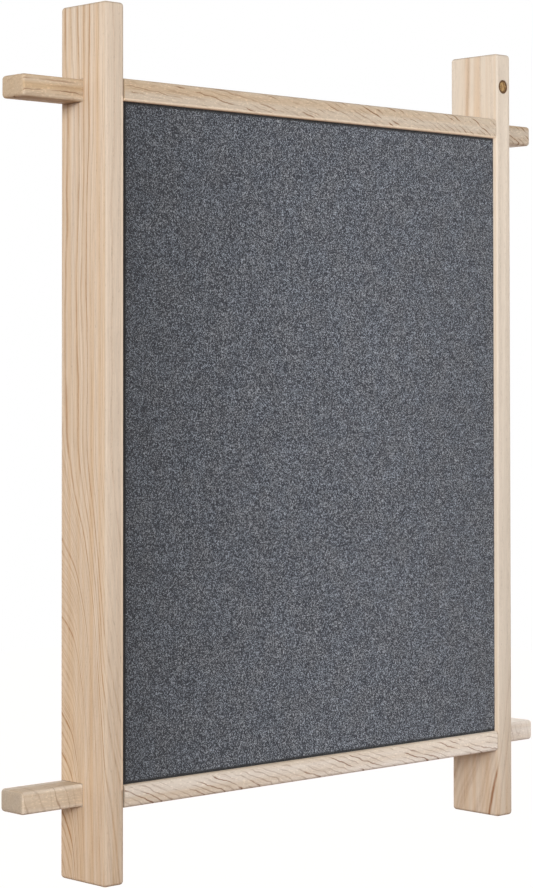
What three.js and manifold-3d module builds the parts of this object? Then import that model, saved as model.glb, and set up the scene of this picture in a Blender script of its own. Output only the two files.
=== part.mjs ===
// A wall-hung pinboard: an oak frame round a panel of softboard covered in cloth.
// The two posts run past the rails at both ends. Each rail is as deep as the posts between them, and
// its back half carries on through a notch in each post and stands out on the far side.
// Millimetres, +Z up. The wall is the plane Y = 0 and the pinning face looks along -Y, so +X is to the
// right as seen from the front. The origin is the middle of the top rail's back face.

import * as THREE from "three";
import { RoundedBoxGeometry } from "three/addons/geometries/RoundedBoxGeometry.js";
import { mergeVertices } from "three/addons/utils/BufferGeometryUtils.js";
import Module from "manifold-3d";

const wasm = await Module();
wasm.setup();

// Oak frame
const openingWidth = 500;
const openingHeight = 600;
const postFace = 23;
const railFace = 20;
const frameDepth = 61;
const postOverhang = 66.5;
const railOverhang = 67.5;
const stubDepth = 31;
const arrisRadius = 3.5;
const frontLip = 4.25;
const rebateWidth = 6;

// Gap between pieces that touch, and how far a cut runs past what it cuts
const seatGap = 0.3;
const cutOverrun = 4;

// Panel
const panelClearance = 0.8;
const panelRadius = 2.4;
const clothThickness = 1.2;
const hemWidth = 25;
const softboardThickness = 10;
const backingThickness = 4;
const boardRadius = 0.6;

// Battens that hold the panel in its rebate
const battenFace = 14;
const battenDepth = 12;
const battenRadius = 0.8;
const battenScrewInset = 50;
const battenScrewCount = 3;

// Wooden plug in the front of the right post
const plugHoleRadius = 7;
const plugHoleDepth = 12;
const plugSink = 0.5;
const plugChamfer = 0.4;

// Keyhole plates let into the backs of the posts
const hangerWidth = 14;
const hangerLength = 50;
const hangerThickness = 2;
const hangerScrewInset = 5.5;
const keyholeEntryRadius = 4.6;
const keyholeSlotRadius = 2.5;
const keyholeTravel = 12;
const pocketDepth = 8;
const pocketMargin = 0.8;

// Screws: a countersunk head with a thin upright rim, a plain shank and a pointed tip
const jointScrewLength = 45;
const jointScrewRadius = 2;
const jointScrewHeadRadius = 4;
const battenScrewLength = 25;
const battenScrewRadius = 1.75;
const battenScrewHeadRadius = 3.4;
const hangerScrewLength = 16;
const hangerScrewRadius = 1.5;
const hangerScrewHeadRadius = 2.8;
const screwRim = 0.3;
const screwTipShare = 3;
const driveSpanShare = 0.58;
const driveSlotShare = 0.17;
const driveDepthShare = 0.5;

// Faces along a curve
const arrisSteps = 3;
const edgeSteps = 1;
const roundSteps = 24;
const screwSteps = 12;

// Places that follow from the sizes
const postMiddleX = (openingWidth + postFace) / 2;
const topRailZ = 0;
const bottomRailZ = -(openingHeight + railFace);
const frameMiddleZ = (topRailZ + bottomRailZ) / 2;
const postLength = openingHeight + 2 * (railFace + postOverhang);
const railLength = openingWidth + 2 * (postFace + railOverhang);
const hangerZ = topRailZ + (railFace + postOverhang) / 2;
const rebateHalfWidth = openingWidth / 2 + rebateWidth;
const rebateHalfHeight = openingHeight / 2 + rebateWidth;

// Layers from the front lip back towards the wall, as distances from the wall plane
const lipBackY = -(frameDepth - frontLip);
const clothFrontY = lipBackY + seatGap;
const softboardFrontY = clothFrontY + clothThickness + seatGap;
const softboardBackY = softboardFrontY + softboardThickness;
const backingFrontY = softboardBackY + seatGap;
const backingBackY = backingFrontY + backingThickness;
const clothBackY = backingBackY + seatGap + clothThickness;
const battenFrontY = clothBackY + seatGap;
const battenMiddleY = battenFrontY + battenDepth / 2;

const clothWidth = 2 * (rebateHalfWidth - panelClearance);
const clothHeight = 2 * (rebateHalfHeight - panelClearance);
const boardWidth = clothWidth - 2 * (clothThickness + seatGap);
const boardHeight = clothHeight - 2 * (clothThickness + seatGap);

const oak = { roughness: 0.55, metalness: 0 };
const materials = {
  post: new THREE.MeshStandardMaterial({ color: 0xd8c4ac, ...oak }),
  rail: new THREE.MeshStandardMaterial({ color: 0xd2bb9b, ...oak }),
  plug: new THREE.MeshStandardMaterial({ color: 0xa98a5c, ...oak }),
  batten: new THREE.MeshStandardMaterial({ color: 0xcdb189, roughness: 0.7, metalness: 0 }),
  cloth: new THREE.MeshStandardMaterial({ color: 0x5d6168, roughness: 0.95, metalness: 0 }),
  softboard: new THREE.MeshStandardMaterial({ color: 0xb59a72, roughness: 1, metalness: 0 }),
  backing: new THREE.MeshStandardMaterial({ color: 0x7a5a3c, roughness: 0.8, metalness: 0 }),
  steel: new THREE.MeshStandardMaterial({ color: 0xb9bbbd, roughness: 0.35, metalness: 1 }),
};

// A closed solid from a three.js geometry whose faces share only their positions
function solidOf(geometry) {
  const bare = geometry.clone();
  bare.deleteAttribute("normal");
  bare.deleteAttribute("uv");
  const merged = mergeVertices(bare);
  return new wasm.Manifold(
    new wasm.Mesh({
      numProp: 3,
      vertProperties: merged.attributes.position.array,
      triVerts: new Uint32Array(merged.index.array),
    }),
  );
}

function geometryOf(solid) {
  const { vertProperties, numProp, triVerts } = solid.getMesh();
  const geometry = new THREE.BufferGeometry();
  geometry.setAttribute("position", new THREE.BufferAttribute(vertProperties, numProp));
  geometry.setIndex(new THREE.BufferAttribute(triVerts, 1));
  geometry.computeVertexNormals();
  return geometry;
}

function cutFrom(solid, cutters) {
  return cutters.reduce((left, cutter) => left.subtract(cutter), solid);
}

// A box between two corners, each given as [x, y, z]
function boxBetween(low, high) {
  const size = high.map((value, axis) => value - low[axis]);
  const middle = high.map((value, axis) => (value + low[axis]) / 2);
  return new THREE.BoxGeometry(...size).translate(...middle);
}

function easedBox(size, radius, steps, middle) {
  return new RoundedBoxGeometry(...size, steps, radius).translate(...middle);
}

// Turns a shape drawn in X and Z, extruded towards +Z, so that it runs from the wall plane to -Y
function extrudeBack(shape, depth) {
  const geometry = new THREE.ExtrudeGeometry(shape, {
    depth,
    bevelEnabled: false,
    curveSegments: roundSteps / 2,
  });
  return geometry.rotateX(Math.PI / 2);
}

// A straight-sided slot with round ends, upright, between two centres
function slotOutline(Kind, radius, lowZ, highZ) {
  const outline = new Kind();
  outline.absarc(0, highZ, radius, 0, Math.PI, false);
  outline.absarc(0, lowZ, radius, Math.PI, 2 * Math.PI, false);
  outline.closePath();
  return outline;
}

// Screws are turned about Y with the head's flat face at the origin and the tip towards -Y
function screwKind(length, radius, headRadius) {
  const countersink = headRadius - radius;
  const tip = radius * screwTipShare;
  const profile = [
    [0, -length],
    [radius, tip - length],
    [radius, -screwRim - countersink],
    [headRadius, -screwRim],
    [headRadius, 0],
    [0, 0],
  ];
  const boreProfile = [
    [0, -length - seatGap],
    [radius + seatGap, -length - seatGap],
    [radius + seatGap, -screwRim - seatGap - countersink],
    [headRadius + seatGap, -screwRim - seatGap],
    [headRadius + seatGap, cutOverrun],
    [0, cutOverrun],
  ];
  return { profile, boreProfile, headRadius };
}

function turned(profile, steps) {
  const points = profile.map(([radius, along]) => new THREE.Vector2(radius, along));
  return new THREE.LatheGeometry(points, steps);
}

// The cross that the driver fits, sunk into the screw's head
function driveCross(headRadius) {
  const span = headRadius * driveSpanShare;
  const slot = headRadius * driveSlotShare;
  const depth = headRadius * driveDepthShare;
  const arm = boxBetween([-span, -depth, -slot], [span, cutOverrun, slot]);
  const crossArm = boxBetween([-slot, -depth, -span], [slot, cutOverrun, span]);
  return solidOf(arm).add(solidOf(crossArm));
}

function screwGeometry(kind) {
  const blank = solidOf(turned(kind.profile, screwSteps));
  return geometryOf(blank.subtract(driveCross(kind.headRadius)));
}

const jointScrew = screwKind(jointScrewLength, jointScrewRadius, jointScrewHeadRadius);
const battenScrew = screwKind(battenScrewLength, battenScrewRadius, battenScrewHeadRadius);
const hangerScrew = screwKind(hangerScrewLength, hangerScrewRadius, hangerScrewHeadRadius);

// Which way a screw points, as the turn that takes it there from -Y
const turns = {
  front: new THREE.Euler(0, 0, 0),
  right: new THREE.Euler(0, 0, Math.PI / 2),
  left: new THREE.Euler(0, 0, -Math.PI / 2),
  up: new THREE.Euler(-Math.PI / 2, 0, 0),
  down: new THREE.Euler(Math.PI / 2, 0, 0),
};

const sides = [
  { name: "left", sign: -1, turn: turns.left },
  { name: "right", sign: 1, turn: turns.right },
];
const rails = [
  { name: "top", sign: 1, z: topRailZ, turn: turns.up },
  { name: "bottom", sign: -1, z: bottomRailZ, turn: turns.down },
];

// Every screw with its name, kind, place and the pieces that its bore goes through
const screws = [];
for (const side of sides) {
  for (const rail of rails) {
    screws.push({
      name: `joint_screw_${rail.name}_${side.name}`,
      kind: jointScrew,
      at: new THREE.Vector3(side.sign * postMiddleX, 0, rail.z),
      turn: turns.front,
      through: [`${side.name}_post`, `${rail.name}_rail`],
    });
  }
}

const battenSeatX = rebateHalfWidth - seatGap - battenFace;
const battenSeatZ = rebateHalfHeight - seatGap - battenFace;
const uprightBattenHalf = battenSeatZ - seatGap;
const crossBattenHalf = rebateHalfWidth - seatGap;

// How far along its batten, from the middle, each of its screws stands
function screwOffsets(halfLength) {
  const reach = halfLength - battenScrewInset;
  const step = (2 * reach) / (battenScrewCount - 1);
  return Array.from({ length: battenScrewCount }, (_, index) => index * step - reach);
}

for (const side of sides) {
  screwOffsets(uprightBattenHalf).forEach((offset, index) => {
    screws.push({
      name: `batten_screw_${side.name}_${index + 1}`,
      kind: battenScrew,
      at: new THREE.Vector3(side.sign * battenSeatX, battenMiddleY, frameMiddleZ + offset),
      turn: side.turn,
      through: [`${side.name}_post`, `${side.name}_batten`],
    });
  });
}
for (const rail of rails) {
  screwOffsets(crossBattenHalf).forEach((offset, index) => {
    screws.push({
      name: `batten_screw_${rail.name}_${index + 1}`,
      kind: battenScrew,
      at: new THREE.Vector3(offset, battenMiddleY, frameMiddleZ + rail.sign * battenSeatZ),
      turn: rail.turn,
      through: [`${rail.name}_rail`, `${rail.name}_batten`],
    });
  });
}

const hangerScrewReach = hangerLength / 2 - hangerScrewInset;
for (const side of sides) {
  for (const end of [
    { name: "upper", sign: 1 },
    { name: "lower", sign: -1 },
  ]) {
    screws.push({
      name: `hanger_screw_${side.name}_${end.name}`,
      kind: hangerScrew,
      at: new THREE.Vector3(side.sign * postMiddleX, 0, hangerZ + end.sign * hangerScrewReach),
      turn: turns.front,
      through: [`${side.name}_post`, `${side.name}_hanger`],
    });
  }
}

// The bores of all the screws that go through one named piece
function boresIn(name) {
  return screws
    .filter((screw) => screw.through.includes(name))
    .map((screw) => {
      const placed = new THREE.Matrix4().makeRotationFromEuler(screw.turn).setPosition(screw.at);
      return solidOf(turned(screw.kind.boreProfile, screwSteps).applyMatrix4(placed));
    });
}

const part = new THREE.Group();

function addPiece(name, geometry, material, parent = part) {
  const mesh = new THREE.Mesh(geometry, material.clone());
  mesh.name = name;
  parent.add(mesh);
  return mesh;
}

// The rebate that the panel is dropped into from behind, which leaves a lip along the front
const panelRebate = solidOf(
  boxBetween(
    [-rebateHalfWidth, lipBackY, frameMiddleZ - rebateHalfHeight],
    [rebateHalfWidth, cutOverrun, frameMiddleZ + rebateHalfHeight],
  ),
);

// Where a rail's back half goes through both posts
function railNotch(rail) {
  const reach = postMiddleX + postFace;
  const half = railFace / 2 + seatGap;
  return solidOf(
    boxBetween([-reach, -stubDepth - seatGap, rail.z - half], [reach, cutOverrun, rail.z + half]),
  );
}

// Keyhole entry below, slot above it, with the pair centred on the plate
const keyholeHighZ = (keyholeTravel + keyholeEntryRadius - keyholeSlotRadius) / 2;
const keyholeLowZ = keyholeHighZ - keyholeTravel;

// The seat of a keyhole plate in the back of a post, and the pocket for the head of the wall's screw
function hangerSeat(side) {
  const endReach = (hangerLength - hangerWidth) / 2;
  const seatRadius = hangerWidth / 2 + seatGap;
  const pocketRadius = keyholeEntryRadius + pocketMargin;
  const seat = extrudeBack(
    slotOutline(THREE.Shape, seatRadius, -endReach, endReach),
    hangerThickness + seatGap + cutOverrun,
  );
  const pocket = extrudeBack(
    slotOutline(THREE.Shape, pocketRadius, keyholeLowZ, keyholeHighZ),
    hangerThickness + pocketDepth + cutOverrun,
  );
  const place = [side.sign * postMiddleX, cutOverrun, hangerZ];
  return [seat, pocket].map((geometry) => solidOf(geometry.translate(...place)));
}

function plugHole() {
  const depth = plugHoleDepth + cutOverrun;
  const geometry = new THREE.CylinderGeometry(plugHoleRadius, plugHoleRadius, depth, roundSteps);
  return solidOf(geometry.translate(postMiddleX, -frameDepth - cutOverrun + depth / 2, hangerZ));
}

// A post's whole bar, which can reach over the gap to the rails between the posts
function postBar(side, reach) {
  return solidOf(
    easedBox([postFace + reach, frameDepth, postLength], arrisRadius, arrisSteps, [
      side.sign * (postMiddleX - reach / 2),
      -frameDepth / 2,
      frameMiddleZ,
    ]),
  );
}

function postSolid(side) {
  const name = `${side.name}_post`;
  const bar = postBar(side, 0);
  const cuts = [...rails.map(railNotch), panelRebate, ...hangerSeat(side), ...boresIn(name)];
  if (side.name === "right") cuts.push(plugHole());
  return cutFrom(bar, cuts);
}

// A rail keeps its square edges where it fills its notches, and is flush there with the posts' faces
function lapBlocks(rail) {
  const reach = openingWidth + postFace;
  const half = railFace / 2;
  const block = solidOf(
    boxBetween([-reach, -stubDepth, rail.z - half], [reach, cutOverrun, rail.z + half]),
  );
  return sides.map((side) => postBar(side, seatGap).intersect(block));
}

function railSolid(rail) {
  const shoulder = openingWidth / 2 - seatGap;
  const deepLength = openingWidth + 2 * postFace;
  const deepBar = solidOf(
    easedBox([deepLength, frameDepth, railFace], arrisRadius, arrisSteps, [0, -frameDepth / 2, rail.z]),
  );
  const betweenPosts = solidOf(
    boxBetween(
      [-shoulder, -frameDepth - cutOverrun, rail.z - railFace],
      [shoulder, cutOverrun, rail.z + railFace],
    ),
  );
  const throughBar = solidOf(
    easedBox([railLength, stubDepth, railFace], arrisRadius, arrisSteps, [0, -stubDepth / 2, rail.z]),
  );
  const bar = lapBlocks(rail).reduce(
    (joined, block) => joined.add(block),
    deepBar.intersect(betweenPosts).add(throughBar),
  );
  return cutFrom(bar, [panelRebate, ...boresIn(`${rail.name}_rail`)]);
}

for (const side of sides) {
  addPiece(`${side.name}_post`, geometryOf(postSolid(side)), materials.post);
}
for (const rail of rails) {
  addPiece(`${rail.name}_rail`, geometryOf(railSolid(rail)), materials.rail);
}

// The plug stands a hair behind the post's front face, with its edge taken off
function plugGeometry() {
  const radius = plugHoleRadius - seatGap;
  const length = plugHoleDepth - seatGap - plugSink;
  return turned(
    [
      [0, 0],
      [radius - plugChamfer, 0],
      [radius, plugChamfer],
      [radius, length],
      [0, length],
    ],
    roundSteps,
  );
}
const plug = addPiece("plug", plugGeometry(), materials.plug);
plug.position.set(postMiddleX, -frameDepth + plugSink, hangerZ);

// The panel, as a group whose origin is the middle of the cloth's front face
const panel = new THREE.Group();
panel.position.set(0, clothFrontY, frameMiddleZ);
part.add(panel);

// The cloth is stretched over the front and the edges, and its hem is turned in behind
function clothSolid() {
  const depth = clothBackY - clothFrontY;
  const cavityFront = clothThickness;
  const cavityDepth = depth - 2 * clothThickness;
  const window = { x: clothWidth / 2 - hemWidth, z: clothHeight / 2 - hemWidth };
  const outside = easedBox([clothWidth, depth, clothHeight], panelRadius, arrisSteps, [0, depth / 2, 0]);
  const cavity = easedBox(
    [boardWidth + 2 * seatGap, cavityDepth, boardHeight + 2 * seatGap],
    panelRadius - clothThickness,
    arrisSteps,
    [0, cavityFront + cavityDepth / 2, 0],
  );
  const hemWindow = boxBetween(
    [-window.x, depth / 2, -window.z],
    [window.x, depth + cutOverrun, window.z],
  );
  return cutFrom(solidOf(outside), [solidOf(cavity), solidOf(hemWindow)]);
}

// A flat sheet of the panel, between two distances from the wall plane
function sheetGeometry(frontY, backY) {
  const depth = backY - frontY;
  const middle = frontY - clothFrontY + depth / 2;
  return easedBox([boardWidth, depth, boardHeight], boardRadius, edgeSteps, [0, middle, 0]);
}

addPiece("fabric_cover", geometryOf(clothSolid()), materials.cloth, panel);
addPiece(
  "softboard_core",
  sheetGeometry(softboardFrontY, softboardBackY),
  materials.softboard,
  panel,
);
addPiece("backing_board", sheetGeometry(backingFrontY, backingBackY), materials.backing, panel);

// The two cross battens run the full width, and the uprights fit between them
function battenGeometry(halfX, halfZ, middleX, middleZ) {
  const size = [2 * halfX, battenDepth, 2 * halfZ];
  return easedBox(size, battenRadius, edgeSteps, [middleX, battenMiddleY, middleZ]);
}

for (const rail of rails) {
  const name = `${rail.name}_batten`;
  const middleZ = frameMiddleZ + rail.sign * (battenSeatZ + battenFace / 2);
  const strip = solidOf(battenGeometry(crossBattenHalf, battenFace / 2, 0, middleZ));
  addPiece(name, geometryOf(cutFrom(strip, boresIn(name))), materials.batten);
}
for (const side of sides) {
  const name = `${side.name}_batten`;
  const middleX = side.sign * (battenSeatX + battenFace / 2);
  const strip = solidOf(battenGeometry(battenFace / 2, uprightBattenHalf, middleX, frameMiddleZ));
  addPiece(name, geometryOf(cutFrom(strip, boresIn(name))), materials.batten);
}

// A keyhole plate: round ends, two countersunk screw holes, and the keyhole between them
function hangerSolid(side) {
  const endReach = (hangerLength - hangerWidth) / 2;
  const place = [side.sign * postMiddleX, 0, hangerZ];
  const blank = extrudeBack(
    slotOutline(THREE.Shape, hangerWidth / 2, -endReach, endReach),
    hangerThickness,
  );
  const slot = extrudeBack(
    slotOutline(THREE.Shape, keyholeSlotRadius, keyholeLowZ, keyholeHighZ),
    hangerThickness + 2 * cutOverrun,
  );
  const entryDepth = hangerThickness + 2 * cutOverrun;
  const entry = new THREE.CylinderGeometry(
    keyholeEntryRadius,
    keyholeEntryRadius,
    entryDepth,
    roundSteps,
  );
  const cutters = [
    slot.translate(0, cutOverrun, 0),
    entry.translate(0, cutOverrun - entryDepth / 2, keyholeLowZ),
  ].map((geometry) => solidOf(geometry.translate(...place)));
  return cutFrom(solidOf(blank.translate(...place)), [...cutters, ...boresIn(`${side.name}_hanger`)]);
}

for (const side of sides) {
  addPiece(`${side.name}_hanger`, geometryOf(hangerSolid(side)), materials.steel);
}

for (const screw of screws) {
  const mesh = addPiece(screw.name, screwGeometry(screw.kind), materials.steel);
  mesh.position.copy(screw.at);
  mesh.rotation.copy(screw.turn);
}

export default part;
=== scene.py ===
"""A wall-hung pinboard, dressed: oak frame, cloth-covered panel, battens, screws, staples and hanging plates.

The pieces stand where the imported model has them, in metres. The wall is the plane y = 0, the pinning face
looks along -Y and Z is up.
"""

import logging
import math
import random
from dataclasses import dataclass, field, fields
from enum import Enum
from typing import Any, Iterable, NamedTuple, Sequence

import bmesh
import bpy
from mathutils import Euler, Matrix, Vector


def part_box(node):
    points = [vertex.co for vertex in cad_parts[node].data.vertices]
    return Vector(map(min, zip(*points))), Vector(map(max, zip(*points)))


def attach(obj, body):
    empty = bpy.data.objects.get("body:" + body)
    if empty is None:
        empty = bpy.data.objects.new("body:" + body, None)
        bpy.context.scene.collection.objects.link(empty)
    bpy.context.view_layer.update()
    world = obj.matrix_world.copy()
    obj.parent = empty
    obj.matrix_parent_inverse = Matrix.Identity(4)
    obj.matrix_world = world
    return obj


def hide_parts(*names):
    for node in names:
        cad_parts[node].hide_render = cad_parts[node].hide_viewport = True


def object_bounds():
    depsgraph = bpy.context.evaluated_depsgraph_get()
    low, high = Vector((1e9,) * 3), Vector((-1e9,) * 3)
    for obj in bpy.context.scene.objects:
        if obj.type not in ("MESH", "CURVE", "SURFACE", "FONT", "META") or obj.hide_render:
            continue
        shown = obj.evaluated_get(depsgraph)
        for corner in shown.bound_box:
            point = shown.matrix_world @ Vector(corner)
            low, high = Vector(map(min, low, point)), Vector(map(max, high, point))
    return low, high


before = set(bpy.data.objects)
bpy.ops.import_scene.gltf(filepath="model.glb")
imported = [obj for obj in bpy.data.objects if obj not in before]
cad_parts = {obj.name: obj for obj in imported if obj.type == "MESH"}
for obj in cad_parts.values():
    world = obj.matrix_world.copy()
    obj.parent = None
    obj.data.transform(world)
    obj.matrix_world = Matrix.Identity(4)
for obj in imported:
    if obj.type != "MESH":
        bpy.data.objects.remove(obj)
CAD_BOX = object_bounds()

LOG = logging.getLogger("pinboard")
BODY = "root"
MERGE_DISTANCE = 1e-6
FLAT_ANGLE = math.radians(0.4)
SMOOTH_ANGLE = math.radians(32)
BEVEL_ANGLE = math.radians(48)
WHITE = (1.0, 1.0, 1.0, 1.0)

Colour = tuple[float, float, float]
Size = float | Sequence[float]
Sockets = dict[Any, Any]
Wires = dict[str, "Wire"]
Spot = tuple[Vector, Vector, Vector]


def srgb(colour: Colour) -> tuple[float, float, float, float]:
    """Turns a display colour into the linear one that shaders use.

    Args:
        colour: red, green and blue, each from 0 to 255 as on a screen.

    Returns:
        Linear red, green, blue and a full alpha.
    """
    linear = []
    for channel in colour:
        share = channel / 255
        linear.append(share / 12.92 if share <= 0.04045 else ((share + 0.055) / 1.055) ** 2.4)
    return (*linear, 1.0)


class Wire:
    """One output of a node, which takes part in sums like a number."""

    def __init__(self, graph: "Graph", socket: bpy.types.NodeSocket) -> None:
        """Keeps the socket and the graph that it belongs to."""
        self.graph = graph
        self.socket = socket

    def __add__(self, other: Any) -> "Wire":
        """Returns self + other."""
        return self.graph.math("ADD", self, other)

    def __radd__(self, other: Any) -> "Wire":
        """Returns other + self."""
        return self.graph.math("ADD", other, self)

    def __sub__(self, other: Any) -> "Wire":
        """Returns self - other."""
        return self.graph.math("SUBTRACT", self, other)

    def __rsub__(self, other: Any) -> "Wire":
        """Returns other - self."""
        return self.graph.math("SUBTRACT", other, self)

    def __mul__(self, other: Any) -> "Wire":
        """Returns self * other."""
        return self.graph.math("MULTIPLY", self, other)

    def __rmul__(self, other: Any) -> "Wire":
        """Returns other * self."""
        return self.graph.math("MULTIPLY", other, self)

    def __truediv__(self, other: Any) -> "Wire":
        """Returns self / other."""
        return self.graph.math("DIVIDE", self, other)

    def __abs__(self) -> "Wire":
        """Returns the size of self without its sign."""
        return self.graph.math("ABSOLUTE", self)

    def floor(self) -> "Wire":
        """Returns the whole number at or below self."""
        return self.graph.math("FLOOR", self)

    def fraction(self) -> "Wire":
        """Returns what is left of self above its whole number."""
        return self.graph.math("FRACT", self)


class Graph:
    """A node tree while it is being built."""

    def __init__(self, tree: bpy.types.NodeTree) -> None:
        """Keeps the tree."""
        self.tree = tree

    def feed(self, node: bpy.types.Node, sockets: Sockets) -> bpy.types.Node:
        """Links wires to a node's inputs, and sets plain values on them.

        Args:
            node: the node.
            sockets: wires and values, by the input's name or number.

        Returns:
            The node.
        """
        for key, value in sockets.items():
            if isinstance(value, Wire):
                self.tree.links.new(value.socket, node.inputs[key])
            else:
                node.inputs[key].default_value = value
        return node

    def add(self, kind: str, sockets: Sockets | None = None, **settings: Any) -> bpy.types.Node:
        """Adds a node.

        Args:
            kind: the node's type name.
            sockets: wires and values for its inputs, by name or number.
            **settings: the node's own properties.

        Returns:
            The new node.
        """
        node = self.tree.nodes.new(kind)
        for name, value in settings.items():
            setattr(node, name, value)
        return self.feed(node, sockets or {})

    def out(self, node: bpy.types.Node, key: str | int = 0) -> Wire:
        """Returns one output of a node as a wire."""
        return Wire(self, node.outputs[key])

    def get(self, kind: str, sockets: Sockets | None = None, key: str | int = 0, **settings: Any) -> Wire:
        """Adds a node and returns one of its outputs as a wire."""
        return self.out(self.add(kind, sockets, **settings), key)

    def given(self, names: Iterable[str]) -> Wires:
        """Returns the tree's own inputs by name."""
        source = self.add("NodeGroupInput")
        return {name: self.out(source, name) for name in names}

    def here(self) -> Wire:
        """Returns the place on the object, in metres."""
        return self.get("ShaderNodeTexCoord", key="Object")

    def math(self, operation: str, *values: Any) -> Wire:
        """Returns the result of a Math node."""
        return self.get("ShaderNodeMath", dict(enumerate(values)), operation=operation)

    def vector_math(self, operation: str, *values: Any) -> Wire:
        """Returns the vector result of a Vector Math node."""
        return self.get("ShaderNodeVectorMath", dict(enumerate(values)), operation=operation)

    def highest(self, first: Any, second: Any, *others: Any) -> Wire:
        """Returns the highest of two or more values."""
        top = self.math("MAXIMUM", first, second)
        return self.highest(top, *others) if others else top

    def lowest(self, first: Any, second: Any) -> Wire:
        """Returns the lower of two values."""
        return self.math("MINIMUM", first, second)

    def split(self, vector: Wire) -> tuple[Wire, Wire, Wire]:
        """Returns the three parts of a vector."""
        node = self.add("ShaderNodeSeparateXYZ", {0: vector})
        return self.out(node, 0), self.out(node, 1), self.out(node, 2)

    def join(self, x: Any, y: Any, z: Any) -> Wire:
        """Returns a vector made of three parts."""
        return self.get("ShaderNodeCombineXYZ", {0: x, 1: y, 2: z})

    def ramp(self, value: Any, start: Any, end: Any, low: Any = 0.0, high: Any = 1.0) -> Wire:
        """Maps a value smoothly from one range to another.

        Args:
            value: what is mapped.
            start: where the ramp begins.
            end: where it ends.
            low: what it gives at and before its start.
            high: what it gives at and past its end.

        Returns:
            The mapped value.
        """
        sockets = {0: value, 1: start, 2: end, 3: low, 4: high}
        return self.get("ShaderNodeMapRange", sockets, interpolation_type="SMOOTHSTEP")

    def noise(self, vector: Wire, size: Size, detail: float = 1.0, rough: float = 0.5) -> Wire:
        """Returns noise whose lumps have a given size.

        Args:
            vector: the place, in metres.
            size: the lumps' length in metres, one for all or one for each axis.
            detail: how many finer layers are added.
            rough: how strong the finer layers are.

        Returns:
            A value round 0, mostly within a half either way.
        """
        lengths = (size, size, size) if isinstance(size, float) else size
        scaled = self.vector_math("MULTIPLY", vector, [1 / length for length in lengths])
        sockets = {"Vector": scaled, "Scale": 1.0, "Detail": detail, "Roughness": rough}
        return self.get("ShaderNodeTexNoise", sockets) * 2.0 - 1.0

    def chance(self, vector: Wire) -> Wire:
        """Returns a random value from 0 to 1 for each distinct vector."""
        return self.get("ShaderNodeTexWhiteNoise", {"Vector": vector}, "Value")

    def blend(self, factor: Any, low: Any, high: Any, kind: str = "MIX") -> Wire:
        """Returns a colour between two others.

        Args:
            factor: 0 for the first colour, 1 for the second.
            low: the first colour.
            high: the second colour.
            kind: how the second is laid over the first.

        Returns:
            The mixed colour.
        """
        sockets = {0: factor, 6: low, 7: high}
        return self.get("ShaderNodeMix", sockets, 2, data_type="RGBA", blend_type=kind)

    def shade(self, colour: Any, tone: Wire) -> Wire:
        """Returns a colour made lighter or darker by a factor."""
        return self.blend(1.0, colour, self.join(tone, tone, tone), "MULTIPLY")


def declare(tree: bpy.types.NodeTree, in_out: str, sockets: dict[str, str]) -> None:
    """Gives a tree its named inputs or outputs.

    Args:
        tree: the tree.
        in_out: INPUT or OUTPUT.
        sockets: each socket's kind by name.
    """
    for name, kind in sockets.items():
        tree.interface.new_socket(name=name, in_out=in_out, socket_type="NodeSocket" + kind)


class Effect:
    """A shader node group, built once and placed in every material that uses it."""

    name: str = ""
    inputs: dict[str, str] = {}
    outputs: dict[str, str] = {}
    trees: dict[str, bpy.types.NodeTree] = {}

    @classmethod
    def tree(cls) -> bpy.types.NodeTree:
        """Builds the group at the first call.

        Returns:
            The group's tree.
        """
        if cls.name not in Effect.trees:
            tree = bpy.data.node_groups.new(cls.name, "ShaderNodeTree")
            declare(tree, "INPUT", cls.inputs)
            declare(tree, "OUTPUT", cls.outputs)
            graph = Graph(tree)
            graph.add("NodeGroupOutput", cls.build(graph, graph.given(cls.inputs)))
            Effect.trees[cls.name] = tree
        return Effect.trees[cls.name]

    @classmethod
    def build(cls, graph: Graph, given: Wires) -> Wires:
        """Builds what is inside the group.

        Args:
            graph: the group's tree.
            given: its inputs by name.

        Returns:
            Its outputs by name.
        """
        raise NotImplementedError

    @classmethod
    def place(cls, graph: Graph, values: Sockets) -> Wires:
        """Puts the group in a material.

        Args:
            graph: the material's tree.
            values: the group's inputs by name.

        Returns:
            The group's outputs by name.
        """
        node = graph.add("ShaderNodeGroup", values, node_tree=cls.tree())
        return {name: graph.out(node, name) for name in cls.outputs}


class OpeningEdge(Effect):
    """How far a place lies outside the frame's opening, seen from the front; inside it is below zero."""

    name = "opening_edge"
    inputs = {"Place": "Vector"}
    outputs = {"Distance": "Float"}

    @classmethod
    def build(cls, graph: Graph, given: Wires) -> Wires:
        """Builds the distance to the opening's outline, which the posts and rails give.

        Args:
            graph: the group's tree.
            given: its inputs by name.

        Returns:
            Distance, in metres.
        """
        half_width = -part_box("left_post")[1].x
        low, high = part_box("bottom_rail")[1].z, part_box("top_rail")[0].z
        x, _, z = graph.split(given["Place"])
        beside = abs(x) - half_width
        above = abs(z - (low + high) / 2) - (high - low) / 2
        return {"Distance": graph.highest(beside, above)}


class Mottle(Effect):
    """Cloudy tone with a fine grit on it, for boards and plated steel."""

    name = "mottle"
    inputs = {"Place": "Vector", "Base": "Color", "Clouds": "Float", "Grit": "Float", "Streaks": "Float"}
    outputs = {"Color": "Color", "Height": "Float"}
    cloud_size = 0.03
    grit_size = 0.0006
    streak_size = (0.0002, 0.0002, 0.01)

    @classmethod
    def build(cls, graph: Graph, given: Wires) -> Wires:
        """Builds the clouds, the grit and the streaks.

        Args:
            graph: the group's tree.
            given: its inputs by name.

        Returns:
            Color and Height, which follows the grit and the streaks.
        """
        clouds = graph.noise(given["Place"], cls.cloud_size, 3, 0.6) * given["Clouds"]
        grit = graph.noise(given["Place"], cls.grit_size, 2, 0.7) * given["Grit"]
        streaks = graph.noise(given["Place"], cls.streak_size, 2, 0.7) * given["Streaks"]
        height = grit + streaks
        return {"Color": graph.shade(given["Base"], 1.0 + clouds + height), "Height": height}


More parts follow.
